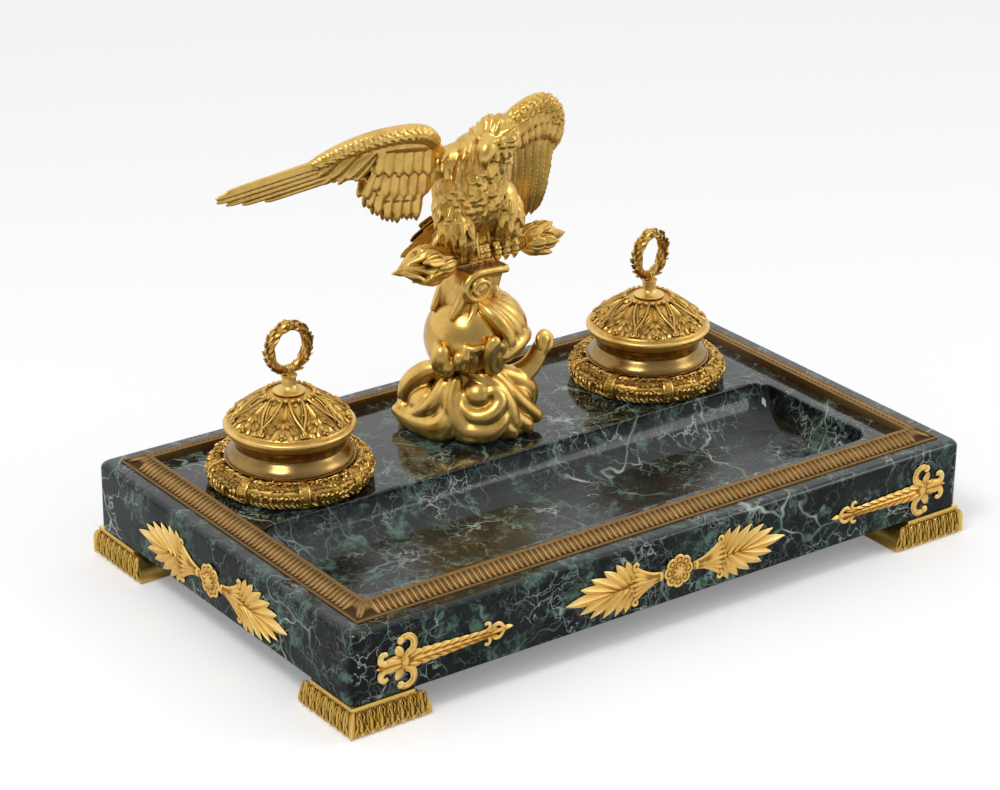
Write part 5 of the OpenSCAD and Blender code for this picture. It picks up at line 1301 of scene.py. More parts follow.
# %% Body, head and legs
HEAD = np.array([7.0, -14.5, 171.8])
BEAK_WAY = unit((-0.84, -0.46, -0.30))
BEAK_SIDE = unit(np.cross(BEAK_WAY, (0, 0, 1)))
BEAK_TOP = unit(np.cross(BEAK_SIDE, BEAK_WAY))
FEATHER = leaf(10, 2, 0.5, "feather", steps=8, rib=0.45, cup=-0.1, under=0.5, bend=0.004)
TUFT = leaf(10, 2, 0.6, "laurel", steps=7, rib=0.4, cup=-0.15, under=0.5, bend=0.012)
LOCK = leaf(10, 2, 0.5, "tongue", steps=8, rib=0.2, cup=-0.2, under=0.5, bend=0.008, sway=0.012)


def plume(at, ahead, face, long, wide, thick=2.2):
    """A mark for a feather: the drawn one is 10 long and 2 wide, and its own thickness is multiplied by half of thick."""
    return (at, ahead, face, (long / 10, wide / 2, thick / 2))


def body_core():
    torso = [(3, 12, 113, 11), (3, 9, 122, 16.5), (1, 3, 135, 19), (1, 0, 147, 19), (3, -4, 157, 16), (5.5, -9, 165, 13),
             (7, -13, 171, 11)]
    parts = [tube(torso, 20, steps=30),
             tube([(-17, 5, 155, 8.0), (-8, 2, 156.5, 10), (5, -2, 158, 12.5), (20, 5, 157, 9.5)], 16, steps=16)]
    parts += [ball(HEAD, 10.8, 14, 20, (1.0, 1.05, 1.02)), ball(HEAD + BEAK_WAY * 5.4 - BEAK_TOP * 0.8, 7.6, 12, 16)]
    for path in ([(-10, 0, 130, 11), (-10, -5, 120, 9.5), (-6, -5, 111, 6.0)],
                 [(19, 0, 131, 11), (20.5, -4, 121, 9.5), (20, -4, 111, 6.0)]):
        parts.append(tube(path, 16, steps=14))
    parts.append(tube([(-13, 4, 113, 6), (4, 3, 112.5, 6.5), (20, 4, 113, 6)], 14, steps=12))
    return melted(parts, "core", 3)


def legs():
    parts = []
    for toe_x, toes in ((1.5, (-3.0, 1.5, 6.0)), (20.0, (13.6, 19.6, 25.4))):
        parts.append(tube([(toe_x, -1.5, 112, 4.4), (toe_x, -1.2, 108.5, 3.8), (toe_x, -1, 106.5, 3.6)], 12, steps=10))
        for x in toes:
            path = [(x * 0.7 + toe_x * 0.3, -1.0, 107.4, 3.0), (x, -5.0, 106.0, 2.9), (x, -7.2, 102.6, 2.7), (x, -7.0, 99.2, 2.3)]
            line = spline(path, 26)        # knuckle rings: the radius swells and shrinks along the toe
            line[:, 3] *= 1 + 0.14 * np.cos(np.linspace(0, 2 * pi * 5, 26))
            parts += [tube(line, 14, steps=52),
                      tube([(x, -7.2, 99.4, 1.8), (x, -7.4, 97.0, 1.3), (x, -6.2, 94.9, 0.4)], 10, steps=12)]
        path = [(toe_x, 1.0, 107.0, 2.9), (toe_x, 5.4, 105.6, 2.6), (toe_x, 7.0, 101.5, 2.2)]
        parts += [tube(path, 12, steps=16),
                  tube([(toe_x, 7.0, 101.5, 1.8), (toe_x, 7.2, 98.8, 1.2), (toe_x, 6.2, 96.6, 0.4)], 10, steps=12)]
    return parts


def beak_and_brow():
    base = HEAD + BEAK_WAY * 10.2 - BEAK_TOP * 0.6
    hook = [(base - BEAK_WAY * 1.5 + BEAK_TOP * 1.0, 6.6), (base + BEAK_WAY * 3.6 + BEAK_TOP * 0.8, 5.5),
            (base + BEAK_WAY * 7.0 - BEAK_TOP * 1.8, 4.0),
            (base + BEAK_WAY * 7.8 - BEAK_TOP * 6.0, 2.3), (base + BEAK_WAY * 6.6 - BEAK_TOP * 9.6, 0.7)]
    jaw = [(base - BEAK_TOP * 4.0, 3.4), (base + BEAK_WAY * 2.4 - BEAK_TOP * 4.6, 2.6),
           (base + BEAK_WAY * 5.0 - BEAK_TOP * 5.4, 1.2)]
    parts = [tube([(*p, r) for p, r in hook], 16, up=tuple(BEAK_TOP), steps=28),
             tube([(*p, r) for p, r in jaw], 12, up=tuple(BEAK_TOP), steps=14)]
    for s in (-1, 1):
        out = BEAK_SIDE * s
        eye = HEAD + BEAK_WAY * 8.2 + out * 6.2 + BEAK_TOP * 1.4
        brow = [(base + out * 2.6 + BEAK_TOP * 3.6, 1.6), (eye + BEAK_TOP * 2.8 + BEAK_WAY * 0.6, 2.1),
                (eye + BEAK_TOP * 2.4 - BEAK_WAY * 4.6 + out * 0.9, 1.7),
                (eye + BEAK_TOP * 1.4 - BEAK_WAY * 8.5 + out * 1.2, 0.8)]
        parts += [ball(eye + out * 0.9, 2.3, 8, 12), tube([(*p, r) for p, r in brow], 10, steps=20)]
        cheek = [(base + out * 4.4 - BEAK_TOP * 2.0, 1.2), (eye - BEAK_TOP * 4.0 - BEAK_WAY * 1.0 + out * 0.4, 1.6),
                 (eye - BEAK_TOP * 4.6 - BEAK_WAY * 6.0 + out * 0.8, 1.0)]
        parts.append(tube([(*p, r) for p, r in cheek], 9, steps=14))
    return parts


CORE = body_core()
CORE_TREE = tree_of(CORE)


def body_marks():
    """Feathers over breast, back and neck, long wavy ones over the head, and shaggy tufts on the thighs."""
    dice = np.random.default_rng(11)
    tiles, tufts, locks = [], [], []
    spine = spline([(4, 10, 112, 0), (3, 7, 122, 0), (1, 3, 135, 0), (1, 0, 147, 0), (4, -5, 158, 0), (6, -11, 167, 0)], 60)
    for row, z in enumerate([*np.arange(110, 133, 3.1), *np.arange(134, 159, 4.1), *np.arange(161, 172, 3.1)]):
        centre = spine[np.argmin(np.abs(spine[:, 2] - z)), :3] * (1, 1, 0) + (0, 0, z)
        count = 22 if z < 133 else 19
        for k in range(count):
            a = 2 * pi * (k + 0.5 * (row % 2)) / count + dice.uniform(-0.06, 0.06)
            out = np.array([cos(a), sin(a), 0])
            hit = surface(CORE_TREE, centre + out * 60, -out, 60)
            if hit is None:
                continue
            at, normal = hit
            lift = np.linalg.norm((at - centre)[:2])
            if lift > (34 if z < 133 or z > 160 else 21):
                continue
            down = np.array([0, 0, -1.0]) - normal * (-normal[2])
            if np.linalg.norm(down) < 0.3:
                continue
            way = unit(down) + np.cross(normal, down) * dice.uniform(-0.22, 0.22)
            if z < 131:
                tufts.append(plume(at - normal * 0.2, way + normal * 0.10, normal, dice.uniform(9.5, 13.0), 4.6, 4.4))
            elif z > 160:                  # the ruff: wavy and a little longer
                locks.append(plume(at - normal * 0.3, way + normal * 0.03, normal, dice.uniform(8.0, 10.0), 3.8, 3.6))
            else:
                tiles.append(plume(at - normal * 0.2, way + normal * 0.11 + np.cross(normal, down) * dice.uniform(-0.2, 0.2),
                                   normal, dice.uniform(7.5, 10.0), 5.6, 6.0))
    # wavy feathers that sweep back from the face over the crown and the nape
    for row, tilt in enumerate(np.arange(57, 150, 12.5)):
        count = max(6, int(2 * pi * sin(radians(tilt)) * 11 / 3.5))
        for k in range(count):
            a = 2 * pi * (k + 0.5 * (row % 2)) / count
            d = BEAK_WAY * cos(radians(tilt)) + (BEAK_SIDE * cos(a) + BEAK_TOP * sin(a)) * sin(radians(tilt))
            hit = surface(CORE_TREE, HEAD + BEAK_WAY * 1.5 + d * 30, -d, 30)
            if hit is None:
                continue
            at, normal = hit
            if np.linalg.norm(at - HEAD) > 14:
                continue
            back = -BEAK_WAY - (0, 0, 0.25)
            back = back - back @ normal * normal
            way = unit(back) + np.cross(normal, back) * 0.30 * sin(4 * a + 1.3 * row)
            locks.append(plume(at - normal * 0.25, way + normal * 0.01, normal, 8.0, 3.2, 3.4))
    # shags that hang from the thighs over the feet
    thighs = [(x, -9.0 + 0.05 * (x + 8) ** 2 * 0.3, 116.0) for x in (-15, -11.5, -8, -4.5, -1)]
    for x, y, z in thighs + [(x, -8.0, 117.5) for x in (14, 17.5, 21, 24.5, 27.5)]:
        for level, long in ((4.5, 10.5), (0.0, 11.0)):
            tufts.append(plume((x, y + 0.6 * level, z + level), (0.05, 0.22, -1), (0.0, -1, -0.2), long, 4.6, 4.6))
    return tiles, tufts, locks


tiles, tufts, locks = body_marks()
print("feathers on the body:", len(tiles), "tiles,", len(tufts), "tufts and", len(locks), "locks")
plumage = [copies("points", shape, STATUE_GILT, marks=marks) for shape, marks in ((FEATHER, tiles), (TUFT, tufts), (LOCK, locks))]
BODY = melted([CORE, *plumage, *legs(), *beak_and_brow()], "body", 1)
cast("eagle_body_feathered", BODY, "eagle_body")

# %% [markdown]
# ## Wings and tail
#
# A wing is a smooth rounded band along the arm, a thin web behind it, and feathers on both faces: a bundle of long
# round primaries at the tip, slanted coverts along the arm, and tiers of broad feathers near the body. A feather
# is a mark from its root to its tip, placed in front of the web. The whole wing is then melted to one casting.

# %% Rows of feathers
RIGHT_FACE, LEFT_FACE = unit((0.08, -1, 0.12)), unit((-0.5, -0.86, 0.1))
COVERT = leaf(10, 2, 0.5, "tongue", steps=10, rib=0.22, cup=-0.2, under=0.6)


def row(places, sweep, off, wide, face, thick=4.8):
    """Marks for feathers given as x and z of the root, then of the tip; off is how far each end lies before the web."""
    marks = []
    for x, z, tip_x, tip_z in places:
        root = np.array([x, np.interp(x, *sweep) - off[0], z])
        tip = np.array([tip_x, np.interp(tip_x, *sweep) - off[1], tip_z])
        marks.append(plume(root, tip - root, face, np.linalg.norm(tip - root), wide, thick))
    return marks


def faint_scales(path, face):
    """Low scales on the band, only as high as a punch would leave them."""
    marks, line = [], spline(path, 101)
    for k in range(30):
        here = line[8 + 3 * k]
        ahead = unit(line[min(9 + 3 * k, 100)][:3] - line[7 + 3 * k][:3])
        side = unit(np.cross(ahead, face))
        side = side if side[2] > 0 else -side
        for j in range(4):
            b = radians(-55 + 34 * (j + 0.5 * (k % 2)))
            for way in (1, -1):
                normal = face * way * cos(b) + side * sin(b)
                down = ahead - side * 0.35
                marks.append(plume(here[:3] + normal * (here[3] * 0.95), unit(down - normal * (down @ normal)), normal, 5.4,
                                   4.0, 1.0))
    return marks


def wing(bands, web, sweep, face, blades, coverts):
    """Melts a wing from its bands, web, blades and coverts. The coverts show on both sides of the web, whose
    place from front to back follows sweep, the y of the web at each x."""
    back = []
    for at, ahead, up, size in coverts:
        deep = (np.asarray(at) - (at[0], np.interp(at[0], *sweep), at[2])) @ face
        # on the back the root reaches 3 mm further, under the band
        back.append((np.asarray(at) - (2 * deep + 1.8) * face - 3.0 * unit(ahead), ahead, -np.asarray(up),
                     (size[0] + 0.3, *size[1:])))
    parts = [tube(band, 20, steps=60) for band in bands] + [web, *blades]
    parts.append(copies("points", COVERT, STATUE_GILT, marks=coverts + back))
    parts.append(copies("points", FEATHER, STATUE_GILT, marks=faint_scales(bands[0], face)))
    return melted(parts, "wing", 1)


def web_of(points, thick):
    """A thin web through [x, y, z] points of its outline."""
    p = np.array(points, float)
    middle = p.mean(0)
    push = np.array([0, thick / 2, 0])
    inner = middle + (p - middle) * 0.93
    return skin([inner - push, p - push * 0.5, p + push * 0.5, inner + push])


RIGHT_BAND = [(-25.2, 0.2, 171.6, 4.7), (-30, -0.2, 175.6, 5.3), (-38, 0, 178.2, 5.3), (-50, 0.5, 179.2, 5.0),
              (-62, 1.5, 178.9, 4.8), (-76, 3.5, 176.5, 4.5), (-88, 5.2, 173.4, 3.8), (-97, 6.4, 170.6, 2.4)]
RIGHT_WEB = web_of([(-19, 3, 150), (-22, 2, 172), (-40, 1, 178), (-62, 2, 178), (-90, 5.5, 172), (-98, 7, 168),
                    (-94, 6.6, 161), (-80, 5, 158.5), (-69, 3.5, 157), (-64, 2.5, 150), (-56, 2, 142), (-38, 2, 139),
                    (-27, 3, 141)], 4.2)
RIGHT_SWEEP = ((-160, -100, -62, -20), (8.6, 7.0, 2.2, 2.6))
# the primaries: long round ridges that lie side by side from the band's end to the tip
right_blades = []
PRIMARIES = [(-78, 173.6, -152, 164.4), (-82, 171.0, -157.6, 162.2), (-82, 168.2, -156.8, 159.8), (-82, 165.6, -151, 157.4),
             (-81, 163.2, -141, 155.8), (-80, 161.0, -127, 154.8)]
for k, (x, z, tip_x, tip_z) in enumerate(PRIMARIES):
    ridge = [(x + (tip_x - x) * t, 4.6 + 3.4 * t + 0.15 * k, z + (tip_z - z) * t, r)
             for t, r in ((0, 1.2), (0.15, 1.75), (0.6, 1.65), (0.88, 1.5), (0.97, 1.1), (1, 0.4))]
    right_blades.append(tube(ridge, 12, steps=60))
right_coverts = (row([(-60, 170, -74, 156.6), (-70, 171, -84.5, 156.6), (-79, 171.2, -92.5, 158.0), (-86, 171, -99, 160.2)],
                     RIGHT_SWEEP, (1.8, 0.9), 6.6, RIGHT_FACE, 4.6)
                 + row([(-52, 171, -65.5, 157.6), (-64, 172, -79, 159.2), (-74, 173, -88, 161.5), (-83, 173, -96, 164)],
                       RIGHT_SWEEP, (3.0, 2.2), 6.2, RIGHT_FACE, 4.4)
                 + row([(-60.5, 156, -65.6, 139.6), (-56.5, 153, -60.4, 134.6), (-51, 152, -53.8, 130.0),
                        (-45, 151, -47.2, 127.6), (-39, 150, -40.8, 128.0), (-33, 149, -34.6, 126.4)], RIGHT_SWEEP,
                       (1.2, 0.2), 7.4, RIGHT_FACE, 7.0)
                 + row([(-63, 160, -68.6, 146.0), (-57.5, 163, -62.6, 149.6), (-52.5, 163, -56.4, 144.2),
                        (-47, 162.5, -50.4, 142.4), (-41.5, 162, -44.2, 141.6), (-35.5, 161, -37.8, 140.6),
                        (-29.5, 160, -31.2, 140.0)], RIGHT_SWEEP, (2.4, 2.2), 7.8, RIGHT_FACE, 4.8)
                 + row([(-57, 174, -61.5, 158.6), (-51, 174, -54.6, 156.6), (-45, 173, -48.0, 155.4),
                        (-39, 172, -41.4, 154.6), (-33, 171, -34.6, 154.0), (-27, 169, -28.4, 152.4)], RIGHT_SWEEP,
                       (3.0, 3.6), 8.2, RIGHT_FACE, 4.4))
RIGHT_SHOULDER = [(-15, 7, 152, 7.0), (-20, 6.5, 162, 6.2), (-28, 5, 169, 4.5), (-38, 3, 174, 4.0)]
RIGHT_FILL = [(-30, 1.5, 170, 4.0), (-44, 0.9, 172.5, 4.2), (-60, 2.0, 173, 3.6), (-80, 4.4, 171, 2.4)]
RIGHT_WING = wing([RIGHT_BAND, RIGHT_SHOULDER, RIGHT_FILL], RIGHT_WEB, RIGHT_SWEEP, RIGHT_FACE, right_blades, right_coverts)
cast("eagle_right_wing_feathered", RIGHT_WING, "eagle_right_wing")

LEFT_BAND = [(24, 6, 160, 6.5), (33, 9.5, 168.5, 5.2), (44, 13.5, 172.0, 5.0), (56, 18, 173.0, 5.0), (67, 22, 170.6, 5.0),
             (75.5, 25.5, 164, 4.8), (80, 28.5, 155, 4.4), (80.5, 30.5, 145.5, 3.4), (77.5, 31, 140.5, 2.2)]
LEFT_WEB = web_of([(20, 7, 140), (26, 8, 162), (44, 14, 170), (58, 19.5, 171), (70, 24, 166), (78, 29, 152), (76, 31, 140),
                   (72, 34, 118), (67, 35, 104), (58, 32, 102), (46, 25, 108), (32, 16, 120)], 3.8)
LEFT_SWEEP = ((20, 44, 58, 80), (8, 14.5, 20, 30))
left_coverts = (row([(29, 152, 33.5, 116), (35.5, 156, 40, 108), (43, 158, 46.8, 105), (51, 157, 53.6, 102.5),
                     (59, 156, 60.2, 101), (67, 154, 65.8, 100), (75, 151, 70.4, 101)], LEFT_SWEEP, (0.6, -8.4), 9.6,
                    LEFT_FACE, 5.4)
                + row([(31, 165, 34, 149), (36.5, 167, 39.5, 149.5), (42.5, 169, 45.5, 150), (48.5, 170, 51.5, 150.5),
                       (54.5, 170, 57.5, 150), (60.5, 170, 63, 149.5), (66.5, 169, 68.5, 148), (72.5, 166, 74, 145)],
                      LEFT_SWEEP, (2.2, 2.6), 8.0, LEFT_FACE, 5.4)
                + row([(33.5, 168, 36.5, 157), (39.5, 170, 42.5, 158), (45.5, 171, 48.5, 158.5), (51.5, 171, 54.5, 159),
                       (57.5, 171, 60, 158.5), (63.5, 170, 65.5, 157.5), (69.5, 169, 71.5, 155.5), (77, 160, 77.5, 143)],
                      LEFT_SWEEP, (3.2, 3.8), 7.4, LEFT_FACE, 5.0))
LEFT_SHOULDER = [(24, 7, 152, 7.0), (33, 11, 163, 5.5), (44, 15, 168, 4.5)]
LEFT_WING = wing([LEFT_BAND, LEFT_SHOULDER], LEFT_WEB, LEFT_SWEEP, LEFT_FACE, [], left_coverts)
cast("eagle_left_wing_feathered", LEFT_WING, "eagle_left_wing")


def tail_shell():
    parts = [tube([(3, 18, 116, 8.6), (1, 22, 112, 7.6), (-1, 26, 108, 5.6)], 16, steps=10)]
    marks, back = [], unit((0, 0.86, 0.42))
    for row, (count, long, off) in enumerate(((7, 29, 0.0), (6, 20, 1.8), (6, 12, 3.2))):
        for k in range(count):
            t = k / (count - 1) - 0.5
            for way in (1, -1):
                marks.append(plume(np.array([-1 + 11 * t, 26, 110.5 + 2.0 * row]) + back * way * off * 0.8,
                                   (-0.38 + 0.75 * t, 0.42, -0.86), back * way, long - 10 * t * t, 6.6, 4.2))
    return melted([*parts, copies("points", FEATHER, STATUE_GILT, marks=marks)], "wing", 1)


cast("eagle_tail_feathered", tail_shell(), "eagle_tail")

# %% [markdown]
# ## Mounts on the slab's faces
#
# The mounts are thin castings with low relief. Each is drawn flat, with x along the slab's edge, y up and z out
# of the marble, and then laid onto its face. A thin plate under the leaves ties them to one piece.

# %% Palmette, rosette and torch
def flat_tube(path, sides, steps, base):
    """A flattened tube on a flat drawing; base is how high its middle lies."""
    return tube([(x, y, base, r) for x, y, r in path], sides, flat=0.62, steps=steps)


def palmette_shell():
    start, size = 11.5, 63.5
    parts = []
    # long middle leaf and five pairs of pointed leaves that fan from the stem
    parts.append(put(leaf(size * 0.5, size * 0.125, 1.5, "laurel", steps=14, rib=0.5, under=0.25), start + size * 0.49, 0, 0,
                     0.5))
    fronds = [(0.27, 66, 0.25), (0.30, 52, 0.29), (0.35, 39, 0.33), (0.42, 28, 0.36), (0.48, 16, 0.38)]
    for k, (x, angle, long) in enumerate(fronds):
        for s in (-1, 1):
            parts.append(put(leaf(size * long, size * 0.105, 1.35, "laurel", steps=12, sway=s * 0.0012, rib=0.5, under=0.25),
                             start + size * x, s * 0.4, s * angle, 0.45 + 0.08 * k))
    plate = [(start + size * t, w) for t, w in ((0.24, 0.8), (0.32, 4.2), (0.42, 6.0), (0.55, 5.6), (0.68, 4.0), (0.8, 2.0))]
    parts.append(skin([[(x, w, 0.02), (x, w * 0.8, 0.8), (x, -w * 0.8, 0.8), (x, -w, 0.02)] for x, w in plate]))
    # ribbed bell of the calyx with its two curled ends
    for k in range(-3, 4):
        out = k / 3
        parts.append(flat_tube([(start - 0.5, k * 0.5, 0.9), (start + size * 0.10, k * 0.9, 1.15),
                (start + size * 0.20, k * 1.9, 1.35), (start + size * 0.27, k * 2.9, 1.25),
                (start + size * (0.31 + 0.02 * (1 - abs(out))), k * 3.0, 0.7)], 9, 20, base=0.75 + 0.45 * (1 - abs(out))))
    for s in (-1, 1):
        curl = [(start + size * 0.265 + q * cos(a), s * (size * 0.165 + q * sin(a)), 1.15 - 0.09 * i)
                for i, (a, q) in enumerate(zip(np.linspace(-1.4, 4.0, 8), np.linspace(2.5, 0.7, 8)))]
        parts.append(flat_tube(curl, 8, 22, base=0.95))
    for x, r in ((start + 0.6, 2.4), (start + size * 0.09, 1.6)):
        parts.append(ball((x, 0, 0.9), r, 6, 14, (0.6, 1.2, 0.7)))
    return join(parts)


def rosette_shell():
    r = 10.2
    parts = [turned([(0, 0), (r * 0.8, 0), (r * 0.8, 0.7), (0, 1.0)], 40)]
    for k in range(8):
        a = 2 * pi * k / 8
        c = np.array([cos(a), sin(a)])
        s = np.array([-c[1], c[0]])
        loop = [(*(c * (r * 0.62 + r * 0.25 * cos(b)) + s * r * 0.27 * sin(b)), 0.85) for b in np.linspace(0, 2 * pi, 13)]
        parts.append(flat_tube(loop, 8, 30, base=1.1))
        parts.append(ball((*(c * r * 0.62), 0.9), 1.1, 5, 10, (1.3, 1.3, 0.8)))
        parts.append(ball((*(c * r * 0.30 + s * 1.2), 1.7), 1.0, 5, 9))
    parts.append(turned([(0, 0.5), (3.0, 0.6), (3.0, 2.0), (2.5, 2.4), (1.2, 2.7), (0, 2.8)], 28))
    return join(parts)


def torch_shell():
    n, parts = 84.0, []

    def spiral(cx, cy, r0, r1, a0, sweep, w0, w1):
        count = 14
        return [(n * cx + n * r * cos(radians(a)), n * cy + n * r * sin(radians(a)), n * w)
                for r, a, w in zip(np.linspace(r0, r1, count), np.linspace(a0, a0 + sweep, count), np.linspace(w0, w1, count))]

    for s in (-1, 1):
        def both(path, base):
            return flat_tube([(x, s * y, w) for x, y, w in path], 10, 40, base)
        # the three curled ends of the fleur
        parts.append(both([(n * 0.16, n * 0.012, n * 0.022)] + spiral(0.062, 0.066, 0.05, 0.018, -60, -225, 0.026, 0.016),
                          base=0.9))
        # big arm: three ribs side by side that curl over
        for k, (grow, w) in enumerate(((-0.016, 0.011), (0.0, 0.013), (0.016, 0.011))):
            parts.append(both([(n * 0.16, n * 0.01 * k, n * w)] + spiral(0.207, 0.11, 0.066 + grow, 0.052 + grow * 0.6, -72,
                    205, w, w * 0.9), base=0.9 + 0.25 * (k == 1)))
        parts.append(ball((n * (0.207 + 0.052 * cos(radians(133))), s * n * (0.11 + 0.052 * sin(radians(133))), 0.9),
                          n * 0.027, 8, 14, (1, 1, 0.6)))
        parts.append(both(spiral(0.8, 0.052, 0.034, 0.016, -100, 215, 0.015, 0.010), base=0.7))
        # acanthus folds on the fleur
        parts.append(put(leaf(n * 0.15, n * 0.05, 1.2, "laurel", steps=9, sway=-s * 0.01, rib=0.5, under=0.3), n * 0.02,
                         s * n * 0.01, s * 14, 0.6))
        parts.append(put(leaf(n * 0.12, n * 0.06, 1.2, "petal", steps=9, rib=0.5, under=0.3), n * 0.2, s * n * 0.008, s * 118,
                         0.6))
    parts.append(put(leaf(n * 0.2, n * 0.05, 1.3, "laurel", steps=9, rib=0.5, under=0.3), 0, 0, 0, 0.6))
    for k, (x, r) in enumerate(((0.155, 0.045), (0.20, 0.05))):
        parts.append(ball((n * x, 0, 0.7), n * r, 8, 18, (0.7, 1, 0.33)))
    # shaft: a flat body under overlapping leaves that get smaller
    parts.append(skin([[(n * x, -n * w, 0.02), (n * x, -n * w * 0.7, 1.0), (n * x, 0, 1.35), (n * x, n * w * 0.7, 1.0),
                        (n * x, n * w, 0.02)]
                       for x, w in ((0.19, 0.04), (0.3, 0.042), (0.46, 0.032), (0.66, 0.022), (0.84, 0.013))]))
    for k in range(9):
        x = 0.77 - 0.068 * k
        wide = 0.028 + 0.0055 * k
        for s in (-1, 0, 1):
            parts.append(put(leaf(n * 0.115, n * wide * 0.8, 1.1, "laurel", steps=8, rib=0.5, under=0.3),
                             n * x + n * 0.03 * (s == 0), s * n * wide * 0.32, s * 9, 0.85 + 0.25 * (s == 0)))
    # ring cluster of three bars, and the tip
    for s in (-1, 0, 1):
        parts.append(flat_tube([(n * 0.83, 0, n * 0.012), (n * 0.86, s * n * 0.042, n * 0.013),
                (n * 0.90, s * n * 0.042, n * 0.013), (n * 0.935, 0, n * 0.012)], 9, 20, base=0.8))
    parts.append(ball((n * 0.83, 0, 0.7), n * 0.022, 6, 12, (0.7, 1.3, 0.6)))
    parts.append(put(leaf(n * 0.08, n * 0.035, 1.3, "laurel", steps=8, rib=0.4, under=0.3), n * 0.92, 0, 0, 0.5))
    return join(parts)


FRONT_X, SIDE_Y, TORCH_FAR = 1.0, 6.5, SLAB_W / 2 - 13.0
FRONT_Z, SIDE_Z = FOOT_H + SLAB_H * 0.435, FOOT_H + SLAB_H * 0.4


def mount(node, shell, face, middle, along=1):
    """Lays a flat mount on a face of the slab; along is +1 or -1 for the way that its x runs."""
    v, f = shell
    u, h, w = v[:, 0] * along, v[:, 1], np.maximum(v[:, 2], 0.02)
    if face == "front":
        spots = [middle + u, -SLAB_D / 2 - w, FRONT_Z + h]
    else:
        s = -1 if face == "left" else 1
        spots = [s * SLAB_W / 2 + s * w, middle + u, SIDE_Z + h]
    finished(node + "_chased", outward(np.stack(spots, 1), f), node, MOUNT_GILT, reach=2.5)


PALMETTE, ROSETTE, TORCH = palmette_shell(), rosette_shell(), torch_shell()
for side, way in (("left", -1), ("right", 1)):
    mount(f"front_{side}_palmette", PALMETTE, "front", FRONT_X, way)
    mount(f"front_{side}_torch", TORCH, "front", FRONT_X + way * TORCH_FAR, -way)
    for end, ahead in (("front", -1), ("back", 1)):
        mount(f"{side}_{end}_palmette", PALMETTE, side, SIDE_Y, ahead)
    mount(side + "_rosette", ROSETTE, side, SIDE_Y)
mount("front_rosette", ROSETTE, "front", FRONT_X)

# %% [markdown]
# ## Finishes of the nodes that stay
#
# The glass liners, pins, nuts, bolts and the tie rod are plain shapes that the measured model already has, so they
# stay and only get a finish. Pressed glass is never quite even: a little noise in its roughness softens what it
# mirrors. The record says which slot a node fills, and the slot says which finish it gets.

# %% Nodes that keep the measured shape
def plain_glass():
    material = bpy.data.materials.new("Pressed glass")
    material.use_nodes = True
    tree = material.node_tree
    shader = tree.nodes["Principled BSDF"]
    shader.inputs["Base Color"].default_value = (0.80, 0.90, 0.87, 1)
    shader.inputs["Transmission Weight"].default_value = 1.0
    shader.inputs["IOR"].default_value = 1.5
    here = add_node(tree, "ShaderNodeTexCoord").outputs["Object"]
    wave = noise_at(tree, here, 130.0, 2.0, 0.5)["Fac"]
    rough = add_node(tree, "ShaderNodeMapRange", {"Value": wave, "To Min": 0.02, "To Max": 0.12}).outputs[0]
    tree.links.new(rough, shader.inputs["Roughness"])
    return material


GLASS = plain_glass()
SLOT_FINISH = {"cup_glass": GLASS, "fastener_brass": SCREW_BRASS, "marble": MARBLE, "rail_gilt": RAIL_GILT,
               "drum_brass": DRUM_GILT, "mount_gilt": MOUNT_GILT, "statue_gilt": STATUE_GILT, "well_gilt": WELL_GILT}
for node, o in frame["nodes"].items():
    if o.hide_render:
        continue
    slot = next(s["material_slot"] for s in frame["record"]["subparts"] if s["node"] == node)
    o.data.materials.clear()
    o.data.materials.append(SLOT_FINISH[slot])
    print(f"{node}: {SLOT_FINISH[slot].name}")

# %% [markdown]
# ## Camera, floor and light
#
# The inkstand stands on white paper in a bright, even room, so that dark marble and gold both show their form. A
# long lens keeps upright edges nearly parallel. The paper looks white and still takes the soft shadow, and the
# world lights less than it shows, so that the two large lamps give the metal its long highlights.

# %% Camera
camera = bpy.data.objects.new("camera", bpy.data.cameras.new("camera"))
bpy.context.scene.collection.objects.link(camera)
camera.data.sensor_width = 36.0
camera.data.lens = 111.3
camera.location = (-0.9412, -1.2461, 0.7675)
camera.rotation_euler = [radians(a) for a in (66.53, -0.62, -36.09)]
bpy.context.scene.camera = camera
print("camera:", camera.data.lens, "mm lens,", round(camera.location.length, 3), "m from the desk's middle")

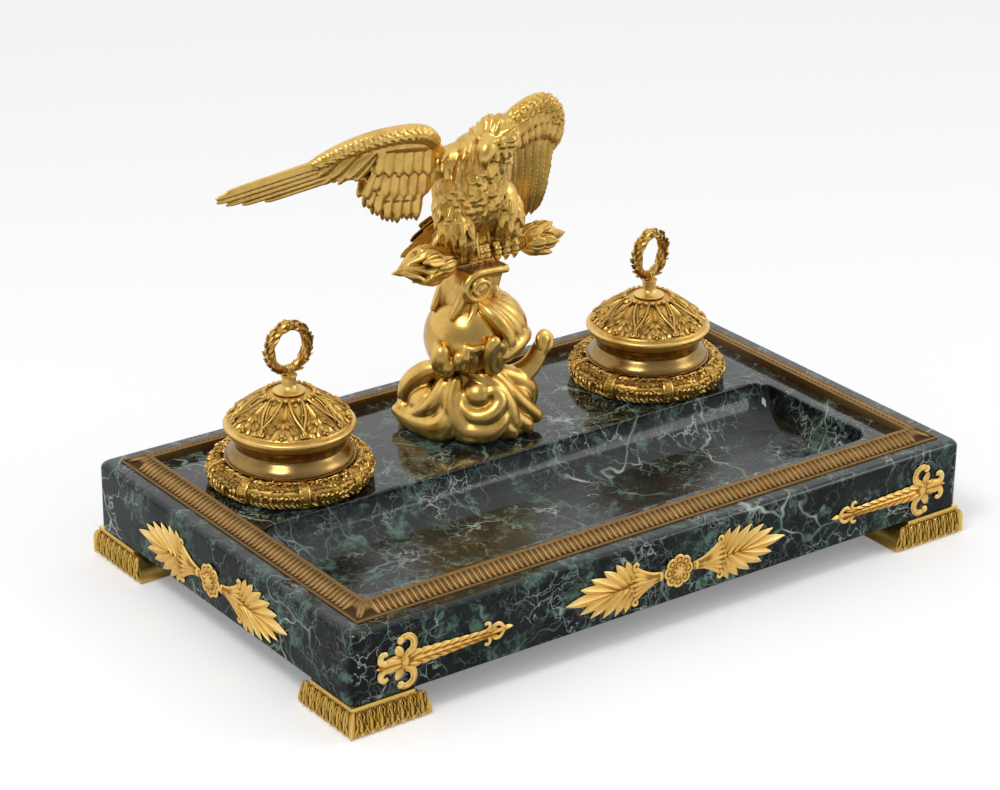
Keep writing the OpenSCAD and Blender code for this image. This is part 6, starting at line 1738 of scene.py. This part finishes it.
# %% Floor, world and lamps
floor = bpy.data.objects.new("floor", bpy.data.meshes.new("floor"))
FAR, UNDER = 6, -0.0004                    # the paper's reach, and how far it lies under the feet, in metres
floor.data.from_pydata([(-FAR, -FAR, UNDER), (FAR, -FAR, UNDER), (FAR, FAR, UNDER), (-FAR, FAR, UNDER)], [], [(0, 1, 2, 3)])
bpy.context.scene.collection.objects.link(floor)
paper = bpy.data.materials.new("White paper")
paper.use_nodes = True
surface_look = paper.node_tree.nodes["Principled BSDF"].inputs
surface_look["Base Color"].default_value = (0.93, 0.93, 0.94, 1)
surface_look["Roughness"].default_value = 0.9
surface_look["Emission Color"].default_value = (1, 1, 1, 1)
# what the camera sees is lifted to white; the shadow stays, and the object gets no light from it
seen_by_camera = add_node(paper.node_tree, "ShaderNodeLightPath").outputs["Is Camera Ray"]
paper.node_tree.links.new(calc(paper.node_tree, "MULTIPLY", seen_by_camera, 0.2), surface_look["Emission Strength"])
floor.data.materials.append(paper)

world = bpy.data.worlds.new("studio")
bpy.context.scene.world = world
world.use_nodes = True
tree = world.node_tree
sky = tree.nodes["Background"]
sky.inputs["Color"].default_value = (1, 1, 1, 1)
ray = add_node(tree, "ShaderNodeLightPath").outputs
shown = calc(tree, "MAXIMUM", ray["Is Camera Ray"], ray["Is Glossy Ray"])
shown = calc(tree, "MAXIMUM", shown, ray["Is Transmission Ray"])
level = add_node(tree, "ShaderNodeMapRange", {"Value": shown, "To Min": 0.62, "To Max": 1.0}).outputs[0]
# polished metal also mirrors the room behind the camera, which is dimmer than the white screens round the table
ahead = vector(tree, "DOT_PRODUCT", add_node(tree, "ShaderNodeTexCoord").outputs["Generated"], (-0.56, -0.78, 0.28))["Value"]
dim = calc(tree, "MULTIPLY", eased(tree, ahead, 0.15, 0.9, 0.0, 0.62), ray["Is Glossy Ray"])
level = calc(tree, "MULTIPLY", level, calc(tree, "SUBTRACT", 1.0, dim))
tree.links.new(level, sky.inputs["Strength"])
LAMP_AIM = Vector((0, 0, 0.06))            # just above the slab's middle, in metres


def lamp(name, place, size, power):
    """A square lamp at a place in metres, turned to the inkstand."""
    light = bpy.data.lights.new(name, "AREA")
    light.size, light.energy = size, power
    o = bpy.data.objects.new(name, light)
    bpy.context.scene.collection.objects.link(o)
    o.location = place
    o.rotation_euler = (LAMP_AIM - Vector(place)).to_track_quat("-Z", "Y").to_euler()
    print(f"{name} lamp: {size} m, {power} W")


lamp("key", (-0.9, -0.4, 1.5), 0.5, 9.0)
lamp("fill", (1.3, -0.9, 1.1), 0.7, 4.0)
bpy.context.scene.view_settings.view_transform = "Standard"
